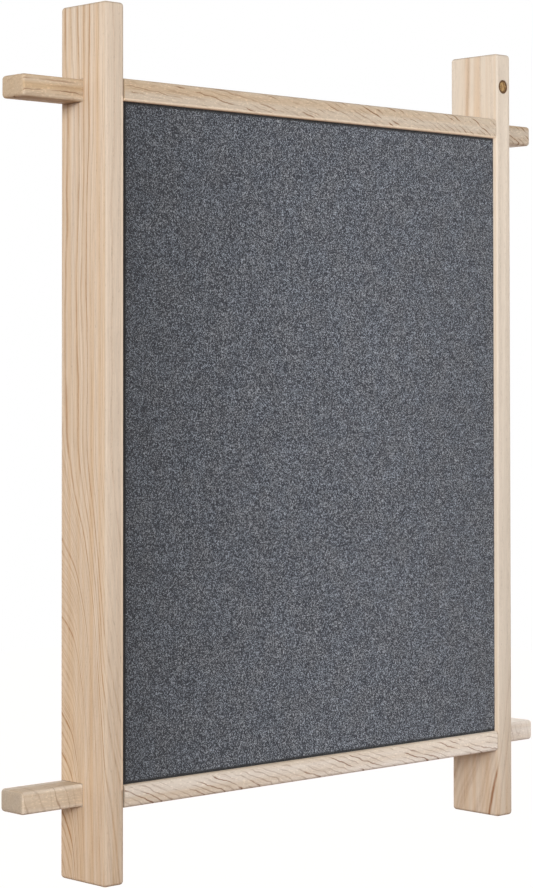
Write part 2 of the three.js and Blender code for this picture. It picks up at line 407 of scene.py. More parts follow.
class GrainRun(Enum):
    """Which way the grain of a bar runs."""

    UPRIGHT = "upright"
    LEVEL = "level"

    def turned(self, graph: Graph, vector: Wire) -> Wire:
        """Puts a vector in the order that the timber pattern takes.

        Args:
            graph: the material's tree.
            vector: a place or a direction of the object.

        Returns:
            The vector as (across the narrow face, into the depth, along the bar).
        """
        if self is GrainRun.UPRIGHT:
            return vector
        x, y, z = graph.split(vector)
        return graph.join(z * -1.0, y, x)


def new_material(name: str) -> tuple[bpy.types.Material, Graph, bpy.types.Node]:
    """Makes an empty node material.

    Args:
        name: the material's name.

    Returns:
        The material, its graph and its Principled BSDF.
    """
    material = bpy.data.materials.new(name)
    material.use_nodes = True
    return material, Graph(material.node_tree), material.node_tree.nodes["Principled BSDF"]


def add_bump(graph: Graph, shader: bpy.types.Node, height: Wire, depth: float, strength: float = 0.6) -> None:
    """Gives a shader a bump.

    Args:
        graph: the material's tree.
        shader: its Principled BSDF.
        height: the pattern of the bump.
        depth: how deep the pattern is, in metres for each unit of height.
        strength: how much of it shows.
    """
    bump = graph.get("ShaderNodeBump", {"Strength": strength, "Distance": depth, "Height": height})
    graph.feed(shader, {"Normal": bump})


@dataclass(frozen=True)
class TimberFinish:
    """The look of one bar of sawn and sanded timber; sizes are in metres and colours as on a screen.

    Each field is an input of the grain pattern, under its own name.
    """

    pale: Colour
    line: Colour
    warm: Colour
    ring_width: float = 0.003
    line_share: float = 0.4
    line_strength: float = 0.6
    line_floor: float = 0.15
    breaks: float = 0.35
    break_level: float = -0.3
    break_width: float = 0.0016
    break_length: float = 0.012
    fine: float = 0.3
    pith_across: float = 0.09
    pith_deep: float = 0.1
    slope: float = 0.0
    bend: float = 0.0
    lean_start: float = 0.3
    lean_end: float = 0.7
    lean_drop: float = 0.0
    lean_turn: float = 0.0
    lean_ink: float = 0.0
    lean_front: float = 1.0
    front_ink: float = 1.0
    front_pale: float = 0.0
    middle_reach: float = 0.0
    waver: float = 0.003
    ripple: float = 0.0003
    bands: float = 0.04
    band_size: float = 0.009
    fibres: float = 0.05
    pores: float = 0.25
    flecks: float = 0.02
    patches: float = 0.03
    # painted shade: the bar's tone falls by this share per metre towards its lower or left end
    drift: float = 0.0
    # painted warm shade: below zero, the colour turns warmer and darker by this share per metre towards the
    # bar's lower or left end
    warm_drift: float = 0.0
    end_shade: float = 0.1
    # painted light and shade on the rounded edges: above zero they are lighter, below zero darker
    arris_light: float = 0.02
    # painted highlight on the thin lip along the frame's opening; below zero it is painted shade
    lip_light: float = 0.16
    lip_reach: float = 0.003
    seed: float = 1.0
    line_roughness = 0.12
    gloss = 0.08
    bump_depth = 0.00012

    @classmethod
    def sockets(cls) -> dict[str, str]:
        """Returns the kind of the pattern's input for each field, by the input's name."""
        kinds = {item.name: "Color" if item.type is Colour else "Float" for item in fields(cls)}
        return {name.replace("_", " ").title(): kind for name, kind in kinds.items()}

    def material(self, name: str, run: GrainRun, roughness: float = 0.7) -> bpy.types.Material:
        """Makes the material of a bar.

        Args:
            name: the material's name.
            run: which way the bar's grain runs.
            roughness: how matt its finish is.

        Returns:
            The material.
        """
        material, graph, shader = new_material(name)
        place = graph.here()
        values: Sockets = {
            "Place": run.turned(graph, place),
            "Facing": run.turned(graph, graph.get("ShaderNodeTexCoord", key="Normal")),
            "Away": OpeningEdge.place(graph, {"Place": place})["Distance"],
        }
        for title, item in zip(self.sockets(), fields(self)):
            value = getattr(self, item.name)
            values[title] = srgb(value) if isinstance(value, tuple) else value
        grain = TimberGrain.place(graph, values)
        graph.feed(shader, {
            "Base Color": grain["Color"],
            "Roughness": roughness + grain["Line"] * self.line_roughness,
            "Specular IOR Level": self.gloss,
        })
        add_bump(graph, shader, grain["Height"], self.bump_depth)
        return material


class TimberGrain(Effect):
    """Growth rings, fibres, pores and flecks of sawn timber, as a solid pattern.

    Place is (across the narrow face, into the depth, along the bar) in metres, and Facing is the face's
    direction in the same order. Away is the distance from the frame's opening, along which a thin lip gets
    a painted highlight, or painted shade where its strength is below zero. Each ring line lies where the
    distance from the pith, plus a run that changes along the bar, comes to a whole number of ring widths.
    From Lean Start to Lean End, both measured along the bar from the part's origin, the rings may drop,
    straighten and take more or less ink. The tone also carries painted shade that grows towards one end of
    the bar, and painted light or shade on its rounded edges. All inputs but the first three are the fields
    of TimberFinish.
    """

    name = "timber_grain"
    inputs = {"Place": "Vector", "Facing": "Vector", "Away": "Float", **TimberFinish.sockets()}
    outputs = {"Color": "Color", "Line": "Float", "Height": "Float"}
    seed_shift = (0.37, 0.61, 0.83)
    depth_range = (-0.064, -0.015)
    uneven = 0.014
    uneven_size = (0.018, 1.0, 1.0)
    waver_size = (0.045, 0.045, 0.15)
    ripple_size = (0.007, 0.007, 0.011)
    ring_draw = 0.5
    fine_draw = 7.5
    straight_half = 0.22
    curved_half = 0.5
    fine_rings = 2.63
    fine_start = 0.4
    fine_half = 0.4
    band_length = 0.5
    fibre_size = (0.0013, 0.0013, 0.03)
    fibre_height = 3.0
    patch_size = (0.03, 0.03, 0.12)
    pore_size = (0.00035, 0.00035, 0.0035)
    pore_fade = 0.75
    fleck_size = (0.0016, 0.0008, 0.0034)
    fleck_level = 0.3
    speckle_size = 0.0011
    speckle = 0.12
    line_height = 0.35
    break_span = (0.0, 0.4)
    early_span = (0.0, 0.32)
    pore_span = (0.22, 0.42)
    fleck_span = (0.1, 0.5)
    arris_span = (0.78, 0.985)
    end_span = (0.6, 0.9)
    end_fade = 0.75
    end_even = 0.9
    end_warmth = 0.4
    front_span = (0.5, 0.9)
    warm_span = (-0.5, 0.6)
    lip_start = 0.47
    lip_fade = 0.8

    @classmethod
    def phase(cls, graph: Graph, given: Wires, place: Wire, lean: Wire) -> tuple[Wire, Wire]:
        """Counts the ring widths from the pith to a place.

        Args:
            graph: the group's tree.
            given: its inputs by name.
            place: the place, shifted by the seed.
            lean: 0 in the bar's middle, 1 past the lean's end.

        Returns:
            The count, which is whole on a ring line, and how far the rings keep their curve there, to 1.
        """
        across, deep, along = graph.split(given["Place"])
        sideways = across - given["Pith Across"]
        inwards = deep - given["Pith Deep"]
        reach = graph.math("SQRT", sideways * sideways + inwards * inwards)
        drop = given["Lean Drop"] * lean * graph.ramp(deep, *cls.depth_range, given["Lean Front"], 1.0)
        uneven = graph.noise(graph.join(along, given["Seed"], 0.0), cls.uneven_size) * cls.uneven
        run = given["Slope"] * along + given["Bend"] * along * along + drop
        run = run + uneven * given["Lean Turn"] * lean
        calm = 1.0 - given["Lean Turn"] * lean
        waver = graph.noise(place, cls.waver_size, 2) * given["Waver"]
        ripple = graph.noise(place, cls.ripple_size) * given["Ripple"]
        spread = (reach - given["Middle Reach"] + waver + ripple) * calm
        return (spread + given["Middle Reach"] + run) / given["Ring Width"], calm

    @classmethod
    def lines(cls, graph: Graph, given: Wires, place: Wire, phase: Wire, calm: Wire) -> Wires:
        """Draws the ring lines, some strong and some faint, with breaks, and the finer lines between.

        Args:
            graph: the group's tree.
            given: its inputs by name.
            place: the place, shifted by the seed.
            phase: the count of ring widths.
            calm: how far the rings keep their curve.

        Returns:
            gap, the distance from the nearest ring in ring widths, line, and ink, which has all lines.
        """
        ring = (phase + 0.5).floor()
        gap = abs(phase - ring)
        luck = graph.chance(graph.join(ring, given["Seed"], cls.ring_draw))
        strength = graph.ramp(luck * luck, 0.0, 1.0, given["Line Floor"], 1.0)
        torn = graph.join(given["Break Width"], given["Break Width"], given["Break Length"])
        torn = graph.noise(graph.vector_math("DIVIDE", place, torn), 1.0, 2) - given["Break Level"]
        whole = graph.ramp(torn, *cls.break_span)
        kept = 1.0 - given["Breaks"] * (1.0 - whole) * calm
        half_line = given["Line Share"] * (cls.straight_half + (cls.curved_half - cls.straight_half) * calm)
        line = (1.0 - graph.ramp(gap, 0.0, half_line)) * strength * kept
        fine_phase = phase * cls.fine_rings + cls.fine_start
        fine_ring = (fine_phase + 0.5).floor()
        fine_luck = graph.chance(graph.join(fine_ring, given["Seed"], cls.fine_draw))
        fine = 1.0 - graph.ramp(abs(fine_phase - fine_ring), 0.0, cls.fine_half)
        fine = fine * fine_luck * given["Fine"]
        return {"gap": gap, "line": line, "ink": graph.highest(line, fine * kept)}

    @classmethod
    def build(cls, graph: Graph, given: Wires) -> Wires:
        """Builds the rings, the marks on them and the shading of ends and edges.

        Args:
            graph: the group's tree.
            given: its inputs by name.

        Returns:
            Color, Line, which rises to 1 in a ring line, and Height, which falls in pores and ring lines.
        """
        shift = graph.join(*(given["Seed"] * share for share in cls.seed_shift))
        place = graph.vector_math("ADD", given["Place"], shift)
        along = graph.split(given["Place"])[2]
        lean = graph.ramp(abs(along), given["Lean Start"], given["Lean End"])
        phase, calm = cls.phase(graph, given, place, lean)
        rings = cls.lines(graph, given, place, phase, calm)

        band = graph.join(given["Band Size"], given["Band Size"], cls.band_length)
        bands = graph.noise(graph.vector_math("DIVIDE", place, band), 1.0)
        fibres = graph.noise(place, cls.fibre_size, 3, 0.7) * given["Fibres"]
        patches = graph.noise(place, cls.patch_size, 2) * given["Patches"]
        early = 1.0 - graph.ramp(rings["gap"], *cls.early_span, 0.0, cls.pore_fade)
        pores = graph.ramp(graph.noise(place, cls.pore_size), *cls.pore_span) * early
        flecks = graph.ramp(graph.noise(place, cls.fleck_size), *cls.fleck_span)

        face_x, face_y, face_z = (abs(part) for part in graph.split(given["Facing"]))
        arris = 1.0 - graph.ramp(graph.highest(face_x, face_y, face_z), *cls.arris_span)
        ends = graph.ramp(face_z, *cls.end_span)
        front = graph.ramp(face_y, *cls.front_span)
        # the thin band along the opening's edge that gets the painted highlight
        lip = 1.0 - graph.ramp(given["Away"], given["Lip Reach"] * cls.lip_start, given["Lip Reach"])

        # the last term is painted shade: the tone falls towards the bar's lower or left end, standing in for
        # the light's fall-off
        tone = 1.0 + bands * given["Bands"] + fibres + patches + given["Drift"] * along
        tone = tone - pores * given["Pores"] + (flecks - cls.fleck_level) * given["Flecks"]
        tone = tone + graph.noise(place, cls.speckle_size, 2, 0.7) * ends * cls.speckle
        # the rounded edges get painted light above zero and painted shade below zero
        tone = tone * (1.0 - given["End Shade"] * ends) * (1.0 + given["Arris Light"] * arris)
        # painted highlight on the lip along the opening, or painted shade where its strength is below zero
        tone = tone + lip * given["Lip Light"]
        strong = given["Line Strength"] * (1.0 + given["Lean Ink"] * lean)
        strong = strong * (1.0 - front * (1.0 - given["Front Ink"]))
        plain = (1.0 - lip * cls.lip_fade) * (1.0 - ends * cls.end_fade)
        inked = graph.lowest(rings["ink"] * strong, 1.0) * plain
        warmth = graph.ramp(bands, *cls.warm_span) * (1.0 - ends * cls.end_even) + ends * cls.end_warmth
        # painted warm shade along the bar, warmer and darker towards its lower or left end
        warmth = warmth + given["Warm Drift"] * along
        warmth = warmth * (1.0 - front * (1.0 - lean) * given["Front Pale"])
        ground = graph.blend(warmth, given["Pale"], given["Warm"])
        return {
            "Color": graph.shade(graph.blend(inked, ground, given["Line"]), tone),
            "Line": rings["line"],
            "Height": fibres * cls.fibre_height - rings["line"] * cls.line_height - pores,
        }


@dataclass(frozen=True)
class PlugFinish:
    """The look of the turned wooden plug, with a dark rim of taken-up glue and painted shadow round its edge.
    """

    middle: Colour = (186, 154, 104)
    streak: Colour = (118, 84, 42)
    # colour of the rim, which is partly glue and partly painted shadow of the gap round the plug
    rim: Colour = (88, 60, 28)
    rim_width: float = 0.0036
    rim_soft_share: float = 0.4
    ragged: float = 0.0026
    ragged_size: float = 0.003
    streak_size: Size = (0.0013, 0.0013, 0.004)
    streak_span: tuple[float, float] = (-0.15, 0.3)
    streak_height: float = -0.5
    pore_size: Size = (0.0004, 0.0004, 0.0009)
    pore_span: tuple[float, float] = (0.2, 0.45)
    pores: float = 0.4
    roughness: float = 0.6
    gloss: float = 0.3
    bump_depth: float = 0.0001

    def material(self, name: str, centre: Vector, radius: float) -> bpy.types.Material:
        """Makes the plug's material.

        Args:
            name: the material's name.
            centre: the middle of the plug's front.
            radius: the plug's radius.

        Returns:
            The material.
        """
        material, graph, shader = new_material(name)
        place = graph.here()
        x, _, z = graph.split(place)
        side = x - centre.x
        rise = z - centre.z
        distance = graph.math("SQRT", side * side + rise * rise)
        ragged = distance + graph.noise(place, self.ragged_size, 2) * self.ragged
        # a ragged dark ring at the plug's edge, partly glue and partly painted shadow of the gap round it
        rim = graph.ramp(
            ragged, radius - self.rim_width, radius - self.rim_width * self.rim_soft_share
        )
        streaks = graph.ramp(graph.noise(place, self.streak_size, 2, 0.6), *self.streak_span)
        pores = graph.ramp(graph.noise(place, self.pore_size), *self.pore_span)
        wood = graph.blend(streaks, srgb(self.middle), srgb(self.streak))
        wood = graph.blend(pores * self.pores, wood, srgb(self.rim))
        graph.feed(shader, {
            "Base Color": graph.blend(rim, wood, srgb(self.rim)),
            "Roughness": self.roughness,
            "Specular IOR Level": self.gloss,
        })
        add_bump(graph, shader, streaks * self.streak_height - pores, self.bump_depth)
        return material


@dataclass(frozen=True)
class ClothFinish:
    """The look of the heathered wool cloth: a plain weave of uneven yarns; sizes are in metres."""

    dark: Colour = (27, 33, 46)
    light: Colour = (184, 195, 208)
    warm_light: Colour = (187, 195, 204)
    cast_size: float = 0.03
    cast_span: tuple[float, float] = (-0.25, 0.25)
    pitch: float = 0.0008
    sway: float = 0.25
    sway_size: float = 0.006
    sway_shift: tuple[float, float, float] = (3.1, 5.7, 0.0)
    yarn_length: float = 0.009
    yarn_part: float = 0.12
    crossing_part: float = 0.9
    cloud_size: float = 0.0052
    broad_size: float = 0.011
    broad_share: float = 0.5
    cloud_part: float = 0.1
    fuzz_size: float = 0.0003
    fuzz_part: float = 0.12
    fuzz_height: float = 0.5
    fleck_size: float = 0.0014
    fleck_span: tuple[float, float] = (0.36, 0.5)
    fleck_part: float = 0.3
    over_share: float = 0.7
    along_share: float = 0.3
    crown_level: float = 0.55
    # painted shade of the weave: yarn crowns lighter, the hollows between yarns darker
    crown_painted_shade: float = 0.18
    mid: float = 0.43
    contrast: float = 3.0
    # painted shadow of the frame's lip, in a thin band of cloth along the frame
    edge_shade: float = 0.9
    edge_band: tuple[float, float] = (-0.0034, -0.0014)
    # widens the painted shadow of the lip on the left and narrows it on the right
    left_shade: float = 0.003
    # painted fall-off of light: darker towards the left, lighter towards the right, and darker towards both
    # sides
    drift: float = 0.6
    side_shade: float = 4.6
    roughness: float = 0.95
    gloss: float = 0.2
    sheen: float = 0.2
    sheen_roughness: float = 0.6
    bump_depth: float = 0.00022

    def weave(self, graph: Graph, flat: Wire) -> tuple[Wire, Wire]:
        """Weaves the cloth and gives each yarn and each crossing its own grey.

        Args:
            graph: the material's tree.
            flat: the place on the flat cloth.

        Returns:
            The grey, with 0 for the dark fibres and 1 for the light ones, and the height.
        """
        u, v, _ = graph.split(flat)
        sway = self.pitch * self.sway
        elsewhere = graph.vector_math("ADD", flat, self.sway_shift)
        across = (u + graph.noise(flat, self.sway_size) * sway) / self.pitch
        up = (v + graph.noise(elsewhere, self.sway_size) * sway) / self.pitch
        column, row = across.floor(), up.floor()
        off_column, off_row = across.fraction() - 0.5, up.fraction() - 0.5
        parity = ((column + row) * 0.5).fraction() * 2.0
        over = off_column * (1.0 - parity) + off_row * parity
        along = off_row * (1.0 - parity) + off_column * parity
        crown = (1.0 - over * over * 4.0) * self.over_share + (1.0 - along * along * 4.0) * self.along_share

        lengths = 1 / self.yarn_length
        crossing = graph.chance(graph.join(column, row, 1.0))
        upright = graph.chance(graph.join(column, (v * lengths).floor(), 2.0))
        level = graph.chance(graph.join((u * lengths).floor(), row, 3.0))
        yarn = upright * (1.0 - parity) + level * parity
        broad = graph.noise(flat, self.broad_size) * self.broad_share
        clouds = graph.noise(flat, self.cloud_size, 2, 0.6) + broad
        fuzz = graph.noise(flat, self.fuzz_size, 2, 0.7)
        fleck = graph.ramp(graph.noise(flat, self.fleck_size), *self.fleck_span)
        grey = (
            self.mid
            + (crossing - 0.5) * self.crossing_part
            + (yarn - 0.5) * self.yarn_part
            + clouds * self.cloud_part
            + fuzz * self.fuzz_part
            + fleck * self.fleck_part
            # painted shade of the weave's relief: lighter on the crowns, darker in the hollows
            + (crown - self.crown_level) * self.crown_painted_shade
        )
        grey = graph.lowest(graph.highest(grey, 0.0), 1.0)
        return graph.math("POWER", grey, self.contrast), crown + fuzz * self.fuzz_height

    def tone(self, graph: Graph) -> Wire:
        """Paints shade on the cloth: a painted shadow of the frame's lip close to the frame, wider on the
        left, and a painted fall-off of light towards both sides and the left.

        Args:
            graph: the material's tree.

        Returns:
            The factor for the cloth's colour.
        """
        place = graph.here()
        nearer = graph.vector_math("SUBTRACT", place, (self.left_shade, 0.0, 0.0))
        away = OpeningEdge.place(graph, {"Place": nearer})["Distance"]
        right = graph.split(place)[0]
        # painted shadow of the frame's lip, then painted fall-off of light towards the left and both sides
        tone = 1.0 - graph.ramp(away, *self.edge_band) * self.edge_shade
        return tone * (1.0 + self.drift * right - self.side_shade * right * right)

    def material(self, name: str) -> bpy.types.Material:
        """Makes the cloth's material, on the UV map that holds the cloth's flat size in metres.

        Args:
            name: the material's name.

        Returns:
            The material.
        """
        material, graph, shader = new_material(name)
        flat = graph.get("ShaderNodeUVMap", uv_map=ClothPanel.uv_name)
        grey, height = self.weave(graph, flat)
        cast = graph.ramp(graph.noise(flat, self.cast_size, 2), *self.cast_span)
        light = graph.blend(cast, srgb(self.light), srgb(self.warm_light))
        graph.feed(shader, {
            "Base Color": graph.shade(graph.blend(grey, srgb(self.dark), light), self.tone(graph)),
            "Roughness": self.roughness,
            "Specular IOR Level": self.gloss,
            "Sheen Weight": self.sheen,
            "Sheen Roughness": self.sheen_roughness,
        })
        add_bump(graph, shader, height, self.bump_depth)
        return material


@dataclass(frozen=True)
class MottledFinish:
    """The look of a pressed fibre sheet, or of zinc-plated steel where it is metallic."""

    base: Colour
    clouds: float
    grit: float
    roughness: float
    streaks: float = 0.0
    metallic: float = 0.0
    rough_change: float = 0.6
    gloss: float = 0.3
    bump_depth: float = 0.0005
    bump_strength: float = 0.5

    def material(self, name: str) -> bpy.types.Material:
        """Makes the material.

        Args:
            name: the material's name.

        Returns:
            The material.
        """
        material, graph, shader = new_material(name)
        values = {
            "Place": graph.here(), "Base": srgb(self.base), "Clouds": self.clouds, "Grit": self.grit,
            "Streaks": self.streaks,
        }
        mottle = Mottle.place(graph, values)
        graph.feed(shader, {"Base Color": mottle["Color"], "Metallic": self.metallic})
        if self.metallic:
            graph.feed(shader, {"Roughness": self.roughness + mottle["Height"] * self.rough_change})
        else:
            graph.feed(shader, {"Roughness": self.roughness, "Specular IOR Level": self.gloss})
        add_bump(graph, shader, mottle["Height"], self.bump_depth, self.bump_strength)
        return material


def new_piece(name: str, mesh: bpy.types.Mesh) -> bpy.types.Object:
    """Puts a mesh in the scene as a piece that stands at the origin.

    Args:
        name: the piece's name.
        mesh: its mesh.

    Returns:
        The piece.
    """
    piece = bpy.data.objects.new(name, mesh)
    bpy.context.scene.collection.objects.link(piece)
    return piece


def dress(piece: bpy.types.Object, slot: str, nodes: Iterable[str] = ()) -> None:
    """Gives a finished piece its body, hides the nodes that it stands for and logs its slot's name.

    Args:
        piece: the finished piece.
        slot: the name of its material slot, which is only logged.
        nodes: the CAD nodes that it replaces.
    """
    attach(piece, BODY)
    replaced = list(nodes)
    if replaced:
        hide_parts(*replaced)
    LOG.info("%s: %d faces, slot %s", piece.name, len(piece.data.polygons), slot)


def shade_smooth(mesh: bpy.types.Mesh) -> None:
    """Smooths a mesh except over its sharp edges."""
    mesh.shade_smooth()
    mesh.set_sharp_from_angle(angle=SMOOTH_ANGLE)


def refined_copy(node: str, name: str, softened: float, material: bpy.types.Material) -> bpy.types.Object:
    """Copies a CAD node, joins its loose triangles and softens its sharp edges.

    Args:
        node: the CAD node's name.
        name: the new piece's name.
        softened: the width of the bevel on its sharp edges.
        material: its material.

    Returns:
        The new piece.
    """
    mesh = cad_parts[node].data.copy()
    mesh.name = name
    mesh.materials.clear()
    mesh.materials.append(material)
    work = bmesh.new()
    work.from_mesh(mesh)
    bmesh.ops.remove_doubles(work, verts=work.verts, dist=MERGE_DISTANCE)
    bmesh.ops.dissolve_limit(work, angle_limit=FLAT_ANGLE, verts=work.verts, edges=work.edges)
    work.to_mesh(mesh)
    work.free()
    shade_smooth(mesh)
    piece = new_piece(name, mesh)
    bevel = piece.modifiers.new("softened edges", "BEVEL")
    bevel.limit_method = "ANGLE"
    bevel.angle_limit = BEVEL_ANGLE
    bevel.width = softened
    bevel.segments = 2
    bevel.miter_outer = "MITER_ARC"
    bevel.use_clamp_overlap = True
    bevel.harden_normals = False
    return piece


def turned_mesh(
    name: str, profile: Sequence[tuple[float, float]], centre: Vector, sides: int
) -> bpy.types.Mesh:
    """Turns a profile about a line along Y.

    Args:
        name: the mesh's name.
        profile: points as (radius, y); those on the axis become one pole each.
        centre: a point that the axis goes through.
        sides: how many steps make the full turn.

    Returns:
        The closed mesh.
    """
    work = bmesh.new()
    rings = []
    for radius, y in profile:
        count = 1 if radius == 0 else sides
        turns = [math.tau * step / count for step in range(count)]
        rings.append([
            work.verts.new((centre.x + radius * math.cos(turn), y, centre.z + radius * math.sin(turn)))
            for turn in turns
        ])
    for near, far in zip(rings, rings[1:]):
        for step in range(sides):
            after = (step + 1) % sides
            corners = [(near, step), (near, after), (far, after), (far, step)]
            loop = list(dict.fromkeys(ring[at % len(ring)] for ring, at in corners))
            if len(loop) > 2:
                work.faces.new(loop)
    bmesh.ops.remove_doubles(work, verts=work.verts, dist=MERGE_DISTANCE)
    bmesh.ops.recalc_face_normals(work, faces=work.faces)
    mesh = bpy.data.meshes.new(name)
    work.to_mesh(mesh)
    work.free()
    shade_smooth(mesh)
    return mesh


def new_geometry_tree(name: str, inputs: dict[str, str]) -> tuple[Graph, Wires]:
    """Starts a geometry tree that takes points and a number of named inputs.

    Args:
        name: the tree's name.
        inputs: each input's socket kind by name.

    Returns:
        The tree's graph and its inputs by name, with the points under "Points".
    """
    tree = bpy.data.node_groups.new(name, "GeometryNodeTree")
    inputs = {"Points": "Geometry", **inputs}
    declare(tree, "INPUT", inputs)
    declare(tree, "OUTPUT", {"Pieces": "Geometry"})
    graph = Graph(tree)
    return graph, graph.given(inputs)


def finish_instances(graph: Graph, given: Wires, one: Wire, rotation: Wire) -> None:
    """Sets one shape on every point and ends the tree with real meshes.

    Args:
        graph: the tree's graph.
        given: its inputs by name, with Points and Material among them.
        one: the shape.
        rotation: how each copy is turned.
    """
    sockets = {"Points": given["Points"], "Instance": one, "Rotation": rotation}
    copies = graph.get("GeometryNodeInstanceOnPoints", sockets)
    real = graph.get("GeometryNodeRealizeInstances", {0: copies})
    dressed = graph.get("GeometryNodeSetMaterial", {0: real, "Material": given["Material"]})
    graph.add("NodeGroupOutput", {0: dressed})


def smooth_faces(graph: Graph, geometry: Wire) -> Wire:
    """Smooths a mesh inside a geometry tree, except over its sharp edges.

    Args:
        graph: the tree's graph.
        geometry: the mesh.

    Returns:
        The smoothed mesh.
    """
    faces = graph.get("GeometryNodeSetShadeSmooth", {0: geometry, "Shade Smooth": True}, domain="FACE")
    soft = graph.math("LESS_THAN", graph.get("GeometryNodeInputMeshEdgeAngle"), SMOOTH_ANGLE)
    return graph.get("GeometryNodeSetShadeSmooth", {0: faces, "Shade Smooth": soft}, domain="EDGE")


def aimed_rotation(graph: Graph, given: Wires, spin: float) -> Wire:
    """Turns each copy so that its Z axis follows the point's aim, then spins it by chance.

    Args:
        graph: the tree's graph.
        given: its inputs by name, with Seed among them.
        spin: the widest turn about the aim, either way, in radians.

    Returns:
        The rotation.
    """
    named, align = "GeometryNodeInputNamedAttribute", "FunctionNodeAlignRotationToVector"
    aim = graph.get(named, {"Name": "aim"}, data_type="FLOAT_VECTOR")
    side = graph.get(named, {"Name": "side"}, data_type="FLOAT_VECTOR")
    first = graph.get(align, {"Vector": aim}, axis="Z")
    second = graph.get(align, {"Rotation": first, "Vector": side}, axis="X", pivot_axis="Z")
    span = {2: -spin, 3: spin, "Seed": given["Seed"]}
    angle = graph.get("FunctionNodeRandomValue", span, 1, data_type="FLOAT")
    turn = graph.get("FunctionNodeAxisAngleToRotation", {0: (0.0, 0.0, 1.0), 1: angle})
    return graph.get("FunctionNodeRotateRotation", {0: second, 1: turn}, rotation_space="LOCAL")


def aimed_points(name: str, places: Sequence[Spot]) -> bpy.types.Object:
    """Makes a mesh of single points that know which way they look.

    Args:
        name: the piece's name.
        places: each point's place, aim and side direction.

    Returns:
        The piece.
    """
    mesh = bpy.data.meshes.new(name)
    mesh.from_pydata([place for place, _, _ in places], [], [])
    for index, title in enumerate(("aim", "side"), start=1):
        values = mesh.attributes.new(title, "FLOAT_VECTOR", "POINT")
        for point, entry in zip(values.data, places):
            point.vector = entry[index]
    return new_piece(name, mesh)


def run_tree(piece: bpy.types.Object, tree: bpy.types.NodeTree, values: dict[str, Any]) -> None:
    """Runs a geometry tree on a piece and keeps the result as the piece's plain mesh.

    Args:
        piece: a new piece that holds the tree's points.
        tree: the geometry tree.
        values: the tree's inputs by name.
    """
    modifier = piece.modifiers.new(tree.name, "NODES")
    modifier.node_group = tree
    for item in tree.interface.items_tree:
        if item.item_type == "SOCKET" and item.in_out == "INPUT" and item.name in values:
            modifier[item.identifier] = values[item.name]
    evaluated = piece.evaluated_get(bpy.context.evaluated_depsgraph_get())
    mesh = bpy.data.meshes.new_from_object(evaluated)
    piece.modifiers.remove(modifier)
    mesh.name = piece.name
    piece.data = mesh


class ScrewTree:
    """The geometry tree that makes countersunk wood screws with a cross recess and a thread."""

    name = "wood_screws"
    inputs = {
        "Length": "Float", "Shank Radius": "Float", "Head Radius": "Float", "Rim": "Float", "Tip": "Float",
        "Thread Pitch": "Float", "Thread Depth": "Float", "Recess Span": "Float", "Recess Slot": "Float",
        "Recess Depth": "Float", "Rings": "Int", "Seed": "Int", "Material": "Material",
    }
    around = 14
    head_rings = 4
    thread_start = 0.28
    thread_full = 0.34
    blunt = 0.06
    recess_taper = 0.45
    built: bpy.types.NodeTree | None = None

    @classmethod
    def tree(cls) -> bpy.types.NodeTree:
        """Builds the tree at the first call.

        Returns:
            The tree.
        """
        if cls.built is None:
            graph, given = new_geometry_tree(cls.name, cls.inputs)
            parts = {0: cls.blank(graph, given), 1: cls.recess(graph, given)}
            cut = graph.get("GeometryNodeMeshBoolean", parts, operation="DIFFERENCE", solver="EXACT")
            finish_instances(graph, given, smooth_faces(graph, cut), aimed_rotation(graph, given, math.pi))
            cls.built = graph.tree
        return cls.built

    @classmethod
    def blank(cls, graph: Graph, given: Wires) -> Wire:
        """Turns a cylinder into the head, the shank with its thread and the tip.

        Args:
            graph: the tree's graph.
            given: its inputs by name.

        Returns:
            The screw without its recess, head at the origin and tip along +Z.
        """
        length, head, core = given["Length"], given["Head Radius"], given["Shank Radius"]
        sockets = {"Vertices": cls.around, "Side Segments": given["Rings"], "Radius": head, "Depth": length}
        rod = graph.get("GeometryNodeMeshCylinder", sockets)
        x, y, z = graph.split(graph.get("GeometryNodeInputPosition"))
        step = (z / length + 0.5) * given["Rings"]
        head_rings = float(cls.head_rings)
        head_depth = given["Rim"] + (head - core)
        power = graph.math("LOGARITHM", given["Rim"] / head_depth, 1 / cls.head_rings)
        in_head = graph.lowest(step / head_rings, 1.0)
        past = graph.highest(step - head_rings, 0.0)
        rest = (length - head_depth) / (given["Rings"] - head_rings)
        down = head_depth * graph.math("POWER", in_head, power) + past * rest

        turns = graph.math("ARCTAN2", y, x) / math.tau
        tooth = abs((down / given["Thread Pitch"] - turns).fraction() * 2.0 - 1.0)
        threaded = graph.ramp(down, length * cls.thread_start, length * cls.thread_full)
        shank = core - given["Thread Depth"] * tooth * threaded
        taper = head - graph.highest(down - given["Rim"], 0.0)
        point = (length - down) * (core / given["Tip"])
        radius = graph.highest(graph.lowest(graph.highest(shank, taper), point), core * cls.blunt)
        swell = radius / head
        moved = graph.join(x * swell, y * swell, down)
        return graph.get("GeometryNodeSetPosition", {0: rod, "Position": moved})

    @classmethod
    def recess(cls, graph: Graph, given: Wires) -> Wire:
        """Makes the two tapered bars of the cross that is cut from the head.

        Args:
            graph: the tree's graph.
            given: its inputs by name.

        Returns:
            The two bars as one mesh.
        """
        depth = given["Recess Depth"]
        span, slot = given["Recess Span"] * 2.0, given["Recess Slot"] * 2.0
        cross = graph.add("GeometryNodeMeshBoolean", operation="UNION", solver="EXACT")
        for wide, high in ((span, slot), (slot, span)):
            bar = graph.get("GeometryNodeMeshCube", {0: graph.join(wide, high, depth * 2.0)})
            x, y, z = graph.split(graph.get("GeometryNodeInputPosition"))
            narrow = graph.ramp(z, depth * -1.0, depth, 1.0, cls.recess_taper)
            place = graph.join(x * narrow, y * narrow, z)
            graph.feed(cross, {1: graph.get("GeometryNodeSetPosition", {0: bar, "Position": place})})
        return graph.out(cross)


class Aim(Enum):
    """Which way a screw points."""

    FRONT = (0.0, -1.0, 0.0)
    LEFT = (-1.0, 0.0, 0.0)
    RIGHT = (1.0, 0.0, 0.0)
    UP = (0.0, 0.0, 1.0)
    DOWN = (0.0, 0.0, -1.0)


